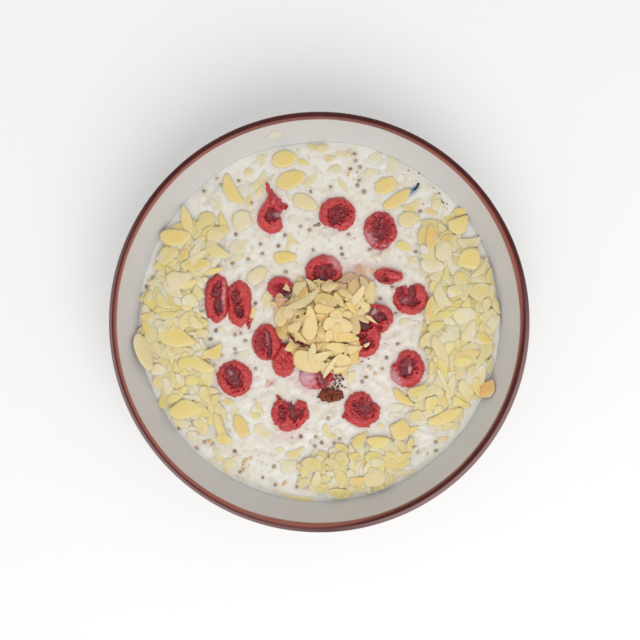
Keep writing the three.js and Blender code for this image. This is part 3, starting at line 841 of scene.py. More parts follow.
def cherry_skin(node, seed, hollows=(), pools=(), films_and_glints=(), folded=False):
    """Skin of a torn cherry, with how deep in a hollow each point is, for painted shade, and how milky,
    painted highlights included.
    """
    centre, reach = outline_of(node, CHERRY_SIDES)
    angles = np.arange(CHERRY_SIDES) * 2 * math.pi / CHERRY_SIDES
    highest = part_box(node)[1].z
    crest = highest - porridge_level
    reach = smooth_loop(reach, 2) * (1 + SQUARED.get(node, 0) * np.sin(2 * angles) ** 2)
    for degrees, part in BULGES.get(node, ()):
        off = angles - math.radians(degrees)
        reach = reach * (1 + part * np.exp(-((np.arctan2(np.sin(off), np.cos(off)) / 0.5) ** 2)))
    ragged = RAGGED.get(node, 0.018)
    torn = ragged * loop_waves(angles, 9, seed)
    frayed = 0.9 * ragged * loop_waves(angles, 26, seed + 1)
    reach = reach * (1 + torn + frayed)
    uneven = 0.9 + 0.09 * loop_waves(angles, 6, seed + 3)
    rings = []
    for part, height in ((0.55, -3.4), (0.85, -2.6), (0.97, -1.2)):
        rings.append((part, np.full(CHERRY_SIDES, height * MM)))
    for part in np.linspace(1, 0.02, FLESH_RINGS) ** 0.9:
        rise = math.sin(min((1 - part) / 0.34, 1) * math.pi / 2) ** 0.75
        rings.append((part, crest * uneven * (0.1 + 0.9 * rise) * (1 - 0.14 * (1 - part))))
    points = np.array(
        [
            np.stack(
                [
                    centre[0] + reach * part * np.cos(angles),
                    centre[1] + reach * part * np.sin(angles),
                    porridge_level + height,
                ],
                -1,
            )
            for part, height in rings
        ]
    )
    above = smooth_step(-1.5 * MM, 0.3 * MM, points[..., 2] - porridge_level)
    hollow = pressed_in(points, hollows, seed + 9)
    pool = pressed_in(points, pools, seed + 10, 0.1, 0.25)
    points[..., 2] -= above * hollow * (crest * 0.72)
    lumps = 0.42 * MM * waves(points[..., :2], 3.6 * MM, seed + 4) * (0.3 + 0.9 * hollow)
    ridges = 1 - 2 * abs(waves(points[..., :2], 2.6 * MM, seed + 5, 10)).clip(0, 1)
    wrinkles = 0.42 * MM * ridges * (0.3 + 0.7 * smooth_step(0.1, 0.6, hollow))
    grain = 0.15 * MM * waves(points[..., :2], 1.1 * MM, seed + 6, 24)
    if folded:
        creases = abs(waves(points[..., :2], 5.5 * MM, seed + 7, 5)) ** 0.5
        wrinkles = -1.0 * MM * (1 - np.clip(creases * 1.6, 0, 1))
    points[..., 2] += (lumps + wrinkles + grain) * above
    floor = porridge_level + HOLLOW_FLOOR * smooth_step(0.1, 0.4, hollow) * above
    points[..., 2] = np.where(hollow > 0.1, np.maximum(points[..., 2], floor), points[..., 2])
    points[..., 2] = np.minimum(points[..., 2], highest)
    drowned = points[..., 2] - pool * (points[..., 2] - porridge_level + POOL_DEPTH)
    points[..., 2] = np.where(pool > 0, drowned, points[..., 2])
    points[..., 0] += 0.12 * MM * waves(points, 1.9 * MM, seed + 7) * above
    points[..., 1] += 0.12 * MM * waves(points, 1.9 * MM, seed + 8) * above
    # Painted shade: darker the deeper in a hollow, and lighter on wrinkle crests, a painted highlight.
    shaded = np.clip(hollow - 0.16 * ridges * (0.3 + hollow), 0, 1)
    wet_line = smooth_step(0.9 * MM, -0.2 * MM, points[..., 2] - porridge_level) * 0.45
    # Milk colour at the waterline and in the films, which also carry the painted highlights.
    milk_and_glints = np.maximum(np.clip(wet_line, 0, 1), pressed_in(points, films_and_glints, seed + 11, 0.2, 0.7))
    first = np.array([*points[0, :, :2].mean(0), porridge_level - 3.6 * MM])
    skin = ring_skin(first, points, points[-1].mean(0))
    values = {
        "inside": np.concatenate([[0], shaded.ravel(), [shaded[-1].mean()]]),
        "milky": np.concatenate([[1], milk_and_glints.ravel(), [milk_and_glints[-1].mean()]]),
    }
    return skin, values


# %% Cherry finish
cherry_red, cherry_shader = new_finish("torn_cherry_flesh", Roughness=0.2, IOR=1.4)
cherry_shader.inputs["Subsurface Weight"].default_value = 0.15
cherry_shader.inputs["Subsurface Radius"].default_value = (1.0, 0.25, 0.2)
cherry_shader.inputs["Subsurface Scale"].default_value = 0.0012
cherry_shader.inputs["Coat Weight"].default_value = 0.42
cherry_shader.inputs["Coat Roughness"].default_value = 0.12
# Red from the rim into the hollows, darker the deeper a point lies: partly the wine-dark flesh, partly
# painted shade.
flesh = ramp(
    cherry_red,
    stored_value(cherry_red, "inside"),
    [
        (0.0, (0.60, 0.048, 0.048)),
        (0.2, (0.50, 0.032, 0.038)),
        (0.5, (0.275, 0.013, 0.022)),
        (0.9, (0.10, 0.0055, 0.010)),
    ],
)
blotches = remap(cherry_red, noise_value(cherry_red, 190.0, 3.0, 0.6), 0.35, 0.7, 0.0, 0.5)
flesh = mix(cherry_red, blotches, flesh, (0.40, 0.020, 0.034))
# Pink streaks are painted highlights: glints on wet wrinkles.
painted_glints = remap(cherry_red, noise_value(cherry_red, 620.0, 4.0, 0.65), 0.52, 0.76, 0.0, 0.36)
flesh = mix(cherry_red, painted_glints, flesh, (0.72, 0.20, 0.22))
# Lilac milk colour, which also paints the highlights listed with the films.
flesh = mix(cherry_red, stored_value(cherry_red, "milky"), flesh, (0.66, 0.40, 0.47))
link(cherry_red, flesh, cherry_shader.inputs["Base Color"])
add_bump(cherry_red, cherry_shader, noise_value(cherry_red, 800.0, 4.0, 0.6), 0.0006, 0.8)
print("finish:", cherry_red.name)

# %% Make every cherry
for number, name in enumerate(cherry_names):
    marks = [ovals.get(name, ()) for ovals in (HOLLOWS, POOLS, FILMS_AND_GLINTS)]
    skin, values = cherry_skin(name, 100 + 20 * number, *marks, name in FOLDED)
    add_piece(f"torn_{name}", skin, cherry_red, [name], values)
print("cherries:", len(cherry_names), "points each:", len(skin[0]))

# %% [markdown]
# ## Almond flakes
#
# A flake is a thin slice of an almond: egg-shaped and pointed at one end when whole, straight-edged where
# it broke, sometimes bent like a bean, and a little curled. One function gives the outline and another
# sweeps it into a thin closed skin that thins towards its edge. The same functions serve the large flakes
# of the frame, the small ones in the drifts and the dry ones in the heap.

# %% Outline of a flake
def flake_outline(length, width, breaks=(), point=0.3, bow=0.0, sides=20, seed=0):
    """Edge of a flake seen from above; breaks are (direction, distance part) of broken edges."""
    angles = np.arange(sides) * 2 * math.pi / sides
    x = np.cos(angles)
    y = np.sin(angles) * (1 - point * (0.5 + 0.5 * x) ** 1.5)
    edge = np.stack([x * length / 2, y * width / 2], -1)
    edge *= 1 + 0.03 * loop_waves(angles, 5, seed)[:, None]
    for direction, part in breaks:
        facing = np.array([math.cos(direction), math.sin(direction)])
        ahead = edge @ facing
        limit = part * ahead.max()
        edge *= np.where(ahead > limit, limit / np.maximum(ahead, 1e-9), 1)[:, None]
    edge[:, 1] += bow * width * ((edge[:, 0] * 2 / length) ** 2 - 0.4)
    return edge - (edge.max(0) + edge.min(0)) / 2


# %% A thin, curled slice
# Each ring of a flake: its part of the outline, and its height as a part of half the thickness.
FLAKE_RINGS = (
    (0.5, -1.0), (0.96, -1.0), (1.0, -0.85), (0.985, -0.5),
    (0.915, 0.3), (0.78, 0.85), (0.42, 1.1),
)


def flake_local(edge, thickness, curl, twist=0.0):
    """Rings of a flake lying at the origin: under side, edge, upper side; and how near the edge each is."""
    half = thickness / 2
    size = np.hypot(*edge.T).max()
    rings = []
    for part, height in FLAKE_RINGS:
        x, y = (edge * part).T
        bend = (curl[0] * x**2 + curl[1] * y**2 + twist * x * y) / size
        rings.append(np.stack([x, y, half * height + bend], -1))
    nearness = np.concatenate([[0], *(np.full(len(edge), part**3) for part, _ in FLAKE_RINGS), [0]])
    return np.array([0, 0, -half]), np.array(rings), np.array([0, 0, half * 1.1]), nearness


def placed(local, turn_angle, slope, spot):
    """Turns a flake, tilts it to a slope and moves it to its spot."""
    cos, sin = math.cos(turn_angle), math.sin(turn_angle)
    steep = np.hypot(*slope)
    shorten = 1 / math.sqrt(1 + steep**2)

    def move(points):
        x = points[..., 0] * cos - points[..., 1] * sin
        y = points[..., 0] * sin + points[..., 1] * cos
        along = (x * slope[0] + y * slope[1]) * (shorten - 1) / max(steep**2, 1e-9)
        x = x + along * slope[0] - points[..., 2] * slope[0] * shorten
        y = y + along * slope[1] - points[..., 2] * slope[1] * shorten
        z = points[..., 2] * shorten + (x * slope[0] + y * slope[1])
        return np.stack([x + spot[0], y + spot[1], z + spot[2]], -1)

    return ring_skin(move(local[0]), move(local[1]), move(local[2]))


# %% [markdown]
# A flake comes to rest like this: take the heights under its outline, fit a tilted plane through them,
# limit the tilt, and raise the plane until it only just presses into the highest spots. Soaked flakes
# are soft, so a small press is true to life, and it keeps the pile from looking like stacked cards.

# %% Letting a flake rest on the map
def spots_under(edge, turn_angle, spot):
    """Spots under a flake, about a map square apart."""
    edge_angles = np.arctan2(edge[:, 1], edge[:, 0])
    order = np.argsort(edge_angles)
    edge_reach = np.hypot(*edge.T)
    size = edge_reach.max()
    line = np.arange(-size, size + MAP_CELL, MAP_CELL * 0.9)
    grid = np.stack(np.meshgrid(line, line), -1).reshape(-1, 2)
    angle = np.arctan2(grid[:, 1], grid[:, 0])
    reach = np.interp(angle, edge_angles[order], edge_reach[order], period=2 * math.pi)
    grid = grid[np.hypot(grid[:, 0], grid[:, 1]) < reach]
    cos, sin = math.cos(turn_angle), math.sin(turn_angle)
    turned = np.stack([grid[:, 0] * cos - grid[:, 1] * sin, grid[:, 0] * sin + grid[:, 1] * cos], -1)
    return turned + np.asarray(spot)[:2]


def rest_on(edge, turn_angle, spot, thickness, extra_tilt, steepest, press):
    """Slope and height at which a flake rests; writes its top into the map."""
    under_spots = spots_under(edge, turn_angle, spot)
    index = map_index(under_spots)
    under = heights[index]
    offset = under_spots - np.asarray(spot)[:2]
    plane_terms = np.column_stack([offset, np.ones(len(offset))])
    slope = np.linalg.lstsq(plane_terms, under, rcond=None)[0][:2] + extra_tilt
    steep = np.hypot(*slope)
    if steep > steepest:
        slope = slope * steepest / steep
    plane = offset @ slope
    height = np.percentile(under - plane, press) + thickness / 2
    np.maximum.at(heights, index, plane + height + thickness / 2)
    return slope, height


# %% [markdown]
# Soaked flakes are butter-yellow, a little see-through, and wetted with milk in patches; dry ones are
# cream with a matt, woody face and golden edges. Each flake stores its own tone, so that no two
# neighbours match, how near its edge each point is, how soaked it is, and a stain for the few that have
# drunk cherry juice.

# %% Almond finishes
def almond_finish(name, tones, edge_tone, edge_part, gloss):
    """Finish of almond flakes: body tones from golden to pale, and a tone for the edges."""
    material, shader = new_finish(name, Roughness=gloss, IOR=1.4)
    shader.inputs["Subsurface Weight"].default_value = 0.3
    shader.inputs["Subsurface Radius"].default_value = (1.0, 0.7, 0.35)
    shader.inputs["Subsurface Scale"].default_value = 0.0014
    body = ramp(material, stored_value(material, "tone"), tones)
    mottle = remap(material, noise_value(material, 170.0, 3.0, 0.6), 0.4, 0.72, 0.0, 0.4)
    body = mix(material, mottle, body, tones[-1][1])
    grain = remap(material, noise_value(material, 1400.0, 2.0, 0.5), 0.55, 0.8, 0.0, 0.16)
    body = mix(material, grain, body, tones[0][1])
    near_edge = remap(material, stored_value(material, "edge"), 0.3, 1.0, 0.0, edge_part)
    body = mix(material, near_edge, body, edge_tone)
    body = mix(material, stored_value(material, "stain"), body, (0.52, 0.25, 0.24))
    wetness = add_node(material, "ShaderNodeMath", operation="ADD")
    link(material, noise_value(material, 130.0, 3.0, 0.6), wetness.inputs[0])
    link(material, stored_value(material, "soaked"), wetness.inputs[1])
    patches = remap(material, wetness.outputs[0], 0.78, 1.08, 0.0, 0.72)
    film = add_node(material, "ShaderNodeMath", operation="MAXIMUM")
    link(material, patches, film.inputs[0])
    link(material, remap(material, stored_value(material, "milky"), 0.0, 1.0, 0.0, 0.85), film.inputs[1])
    link(material, mix(material, film.outputs[0], body, (0.75, 0.71, 0.62)), shader.inputs["Base Color"])
    add_bump(material, shader, noise_value(material, 1100.0, 3.0), 0.00025, 0.5)
    return material


wet_almond = almond_finish(
    "soaked_almond",
    [
        (0.0, (0.77, 0.45, 0.13)),
        (0.2, (0.73, 0.54, 0.19)),
        (0.45, (0.75, 0.60, 0.20)),
        (0.75, (0.72, 0.60, 0.31)),
        (1.0, (0.73, 0.635, 0.40)),
    ],
    (0.76, 0.69, 0.50),
    0.45,
    0.36,
)
dry_almond = almond_finish(
    "dry_almond",
    [
        (0.0, (0.76, 0.44, 0.13)),
        (0.3, (0.79, 0.56, 0.22)),
        (0.65, (0.80, 0.62, 0.31)),
        (1.0, (0.81, 0.67, 0.40)),
    ],
    (0.80, 0.58, 0.26),
    0.4,
    0.5,
)
print("finishes:", wet_almond.name, dry_almond.name)

# %% [markdown]
# ## Drifts and scattered flakes
#
# The drifts at both sides and nearest the eater are many layers of small flakes. They are laid one by
# one, each where the pile is still below the drift of the frame, so the pile stops growing at the right
# height. Then come the flakes that lie open on top, which the eye picks out one by one: they are laid
# where they lie in the real bowl, whole, wedge-shaped, cut off or bent like a bean.

# %% Lay one flake
heights = np.where(map_radius < edge_radius, milk_map - 0.75 * MM, wall_map)
heights = np.maximum(heights, cherry_tops)


def over_cherry(edge, turn_angle, spot):
    """Whether a flake would lie over part of a cherry."""
    return (cherry_tops[map_index(spots_under(edge, turn_angle, spot))] > 0).any()


def random_breaks(chance):
    """None, one or two broken edges."""
    breaks = []
    while len(breaks) < 2 and maker.random() < chance:
        breaks.append((maker.uniform(0, 2 * math.pi), maker.uniform(0.3, 0.8)))
    return breaks


class Flakes:
    """Gathers flakes, then joins them into one piece."""

    def __init__(self):
        self.skins = []
        self.values = {"tone": [], "edge": [], "soaked": [], "stain": []}

    def keep(self, skin, edge, tone, soaked, stain=0.0):
        """Keeps one flake and the numbers that its points store."""
        self.skins.append(skin)
        count = len(skin[0])
        for key, numbers in (("tone", tone), ("edge", edge), ("soaked", soaked), ("stain", stain)):
            self.values[key].append(np.broadcast_to(numbers, count))

    def add(self, name, finish, slot, stands_for=()):
        """Hands all the flakes to the scene as one piece."""
        skin = joined(self.skins)
        values = {key: np.concatenate(parts) for key, parts in self.values.items()}
        values["milky"] = milky(skin[0], values["edge"])
        print(name, "flakes:", len(self.skins), "points:", len(skin[0]))
        return add_piece(name, skin, finish, stands_for, values)


def milky(points, nearness):
    """1 where a flake dips into the milk, falling to 0 above it, higher up on its edge."""
    above = points[:, 2] - map_value(wet_map, points[:, :2])
    return 1 - smooth_step(-0.15 * MM, 0.5 * MM + 0.75 * MM * nearness**2, above)


FLAKE_CURL = (0.02, 0.03)


def lay_flake(edge, spot, turn_angle, thickness=0.38 * MM, tilt=0.03, steepest=0.2, press=70):
    """Lets a flake rest on the map and returns its skin and how near its edge each point is."""
    slope, height = rest_on(edge, turn_angle, spot, thickness, maker.normal(0, tilt, 2), steepest, press)
    bends = maker.normal(0, 0.05, 2) + FLAKE_CURL
    *local, nearness = flake_local(edge, thickness, bends, maker.normal(0, 0.07))
    return placed(local, turn_angle, slope, (spot[0], spot[1], height)), nearness


# %% Fill the drifts
DRIFT_TRIES = 4200
DRIFT_SPOTS = np.argwhere(drift_tops > 0)
drift_flakes = Flakes()
for row, column in DRIFT_SPOTS[maker.integers(len(DRIFT_SPOTS), size=DRIFT_TRIES)]:
    spot = places[row, column] + maker.normal(0, 1.2 * MM, 2)
    here = map_index(spot)
    ceiling = drift_tops[row, column] - 0.4 * MM
    if heights[here] > ceiling or np.hypot(*spot) > edge_radius - 3 * MM or cherry_tops[here] > 0:
        continue
    length = maker.uniform(7, 14) * MM
    width = length * maker.uniform(0.42, 0.75)
    breaks = random_breaks(0.5)
    point = maker.uniform(0, 0.5)
    bow = maker.normal(0, 0.15)
    edge = flake_outline(length, width, breaks, point, bow, 18, len(drift_flakes.skins))
    turn_angle = maker.uniform(0, 2 * math.pi)
    if over_cherry(edge, turn_angle, spot):
        continue
    skin, nearness = lay_flake(edge, spot, turn_angle)
    drift_flakes.keep(skin, nearness, maker.uniform(0.22, 0.85), maker.uniform(0.05, 0.5))

# %% [markdown]
# The milk soaks up into the drifts and fills the hollows between their flakes, so that only the upper
# faces stay bare. Its level there is a smoothed copy of the flake tops, a little lower.

# %% Milk between the drift flakes
SOAK_DEPTH = 0.24 * MM
SOAK_PASSES = 7
soak = heights.copy()
for _ in range(SOAK_PASSES):
    around = np.roll(soak, 1, 0) + np.roll(soak, -1, 0) + np.roll(soak, 1, 1) + np.roll(soak, -1, 1)
    soak = (around + 4 * soak) / 8
in_drift = (drift_tops > 0) & (cherry_tops == 0) & (map_radius < edge_radius - 1.5 * MM)
drift_milk = np.where(in_drift, soak - SOAK_DEPTH, milk_map - 0.4 * MM)
wet_map = np.maximum(milk_map, drift_milk)
drift_flakes.add("drift_flakes", wet_almond, "wet_almond", drift_names)

# %% Make the porridge
milk_skin = porridge_skin()
spots = milk_skin[0][:, :2]
milk_values = {
    "oat": map_value(oat_map, spots) * 0.75,
    "seed": map_value(seed_map, spots),
    "juice": map_value(juice_map, spots),
    "blue": map_value(blue_map, spots),
}
add_piece("milky_porridge", milk_skin, milk, ["porridge"], milk_values)
print("porridge points:", len(milk_skin[0]))

# %% Scatter small pale scraps
SCRAPS = 110
LYING_DEPTH = 0.25 * MM
scraps = Flakes()
heights = np.where(map_radius < edge_radius, np.maximum(heights, milk_map - LYING_DEPTH), heights)
for _ in range(SCRAPS):
    spot = random_spot(50 * MM, 87 * MM)
    if cherry_tops[map_index(spot)] > 0:
        continue
    length = maker.uniform(3, 7.5) * MM
    width = length * maker.uniform(0.4, 0.8)
    edge = flake_outline(length, width, random_breaks(0.6), 0.3, 0, 16, len(scraps.skins))
    turn_angle = maker.uniform(0, 2 * math.pi)
    if over_cherry(edge, turn_angle, spot):
        continue
    skin, nearness = lay_flake(edge, spot, turn_angle)
    scraps.keep(skin, nearness, maker.uniform(0.5, 1), maker.uniform(0.3, 0.65))
scraps.add("almond_scraps", wet_almond, "wet_almond")

# %% Large flakes of the frame
# How each one is shaped: point, bow, tone, soaked, then broken edges as (direction in degrees, part).
LARGE_SHAPES = {
    "almond_flake_01": (0.15, 0.0, 0.42, 0.05, ()),
    "almond_flake_02": (0.2, 0.0, 0.35, 0.1, ()),
    "almond_flake_03": (0.1, 0.35, 0.38, 0.1, ()),
    "almond_flake_04": (0.4, 0.0, 0.85, 0.25, ()),
    "almond_flake_05": (0.3, 0.0, 0.98, 0.3, ((20, 0.7), (-60, 0.8))),
    "almond_flake_06": (0.3, 0.0, 0.40, 0.15, ((170, 0.85), (10, 0.7))),
    "almond_flake_07": (0.2, 0.1, 0.30, 0.05, ()),
    "almond_flake_08": (0.3, 0.0, 0.75, 0.25, ((-50, 0.7),)),
    "almond_flake_09": (0.5, 0.0, 0.60, 0.15, ()),
    "almond_flake_10": (0.2, 0.1, 0.35, 0.15, ()),
    "almond_flake_11": (0.3, -0.2, 0.55, 0.15, ((90, 0.6), (210, 0.7))),
    "almond_flake_12": (0.7, 0.0, 0.95, 0.15, ((180, 0.7),)),
    "almond_flake_13": (0.2, 0.1, 0.90, 0.3, ((60, 0.7), (300, 0.8))),
    "almond_flake_14": (0.3, 0.1, 0.40, 0.15, ((-80, 0.75),)),
    "almond_flake_15": (0.2, 0.0, 0.90, 0.42, ()),
    "almond_flake_16": (0.3, 0.0, 0.08, 0.1, ()),
    "almond_flake_17": (0.2, 0.0, 0.45, 0.2, ((80, 0.6), (-40, 0.75))),
    "almond_flake_18": (0.2, 0.0, 0.50, 0.1, ((200, 0.7),)),
    "almond_flake_19": (0.3, 0.0, 0.22, 0.1, ()),
    "almond_flake_20": (0.3, 0.0, 0.80, 0.2, ()),
    "almond_flake_21": (0.3, 0.1, 0.50, 0.2, ((100, 0.7),)),
    "almond_flake_22": (0.4, 0.2, 0.30, 0.05, ()),
    "almond_flake_23": (0.1, 0.0, 0.28, 0.15, ((30, 0.65), (110, 0.75))),
    "almond_flake_24": (0.4, 0.0, 0.40, 0.1, ((60, 0.75),)),
    "almond_flake_25": (0.2, 0.0, 0.55, 0.15, ((80, 0.7),)),
    "almond_flake_26": (0.3, 0.0, 0.42, 0.05, ((50, 0.7), (120, 0.8))),
    "almond_flake_27": (0.1, 0.0, 0.25, 0.05, ((0, 0.8),)),
    "almond_flake_28": (0.3, 0.1, 0.60, 0.2, ((90, 0.6),)),
    "almond_flake_29": (0.1, 0.2, 0.50, 0.2, ()),
    "almond_flake_30": (0.0, 0.0, 0.80, 0.15, ()),
    "almond_flake_31": (0.2, 0.0, 0.80, 0.3, ()),
    "almond_flake_32": (0.1, 0.0, 0.0, 0.0, ((40, 0.6), (200, 0.8))),
}


def axes_of(name):
    """Centre of a CAD flake, its long, short and upward directions, and its length and width."""
    points = np.array([vertex.co[:] for vertex in nodes[name].data.vertices])
    centre = (points.min(0) + points.max(0)) / 2
    along, across, normal = np.linalg.svd(points - points.mean(0), full_matrices=False)[2]
    along = along * (math.copysign(1, along[0]) if abs(along[0]) > 0.3 else math.copysign(1, along[1]))
    normal = normal * math.copysign(1, normal[2])
    across = np.cross(normal, along)
    length = np.ptp((points - centre) @ along)
    width = np.ptp((points - centre) @ across)
    return centre, np.array([along, across, normal]), length, width


for number, name in enumerate(flake_names):
    point, bow, tone, soaked, breaks = LARGE_SHAPES[name]
    centre, axes, length, width = axes_of(name)
    breaks = [(math.radians(degrees), part) for degrees, part in breaks]
    edge = flake_outline(length, width, breaks, point, bow, 44, 900 + number)
    first, rings, last, nearness = flake_local(edge, 0.8 * MM, (0.03, 0.05), 0.04)
    centre = centre - 0.35 * MM * axes[2]
    skin = ring_skin(first @ axes + centre, rings @ axes + centre, last @ axes + centre)
    large = Flakes()
    large.keep(skin, nearness, tone, soaked)
    large.add(f"large_{name}", wet_almond, "wet_almond", [name])
    np.maximum.at(heights, map_index(skin[0][:, :2]), skin[0][:, 2])

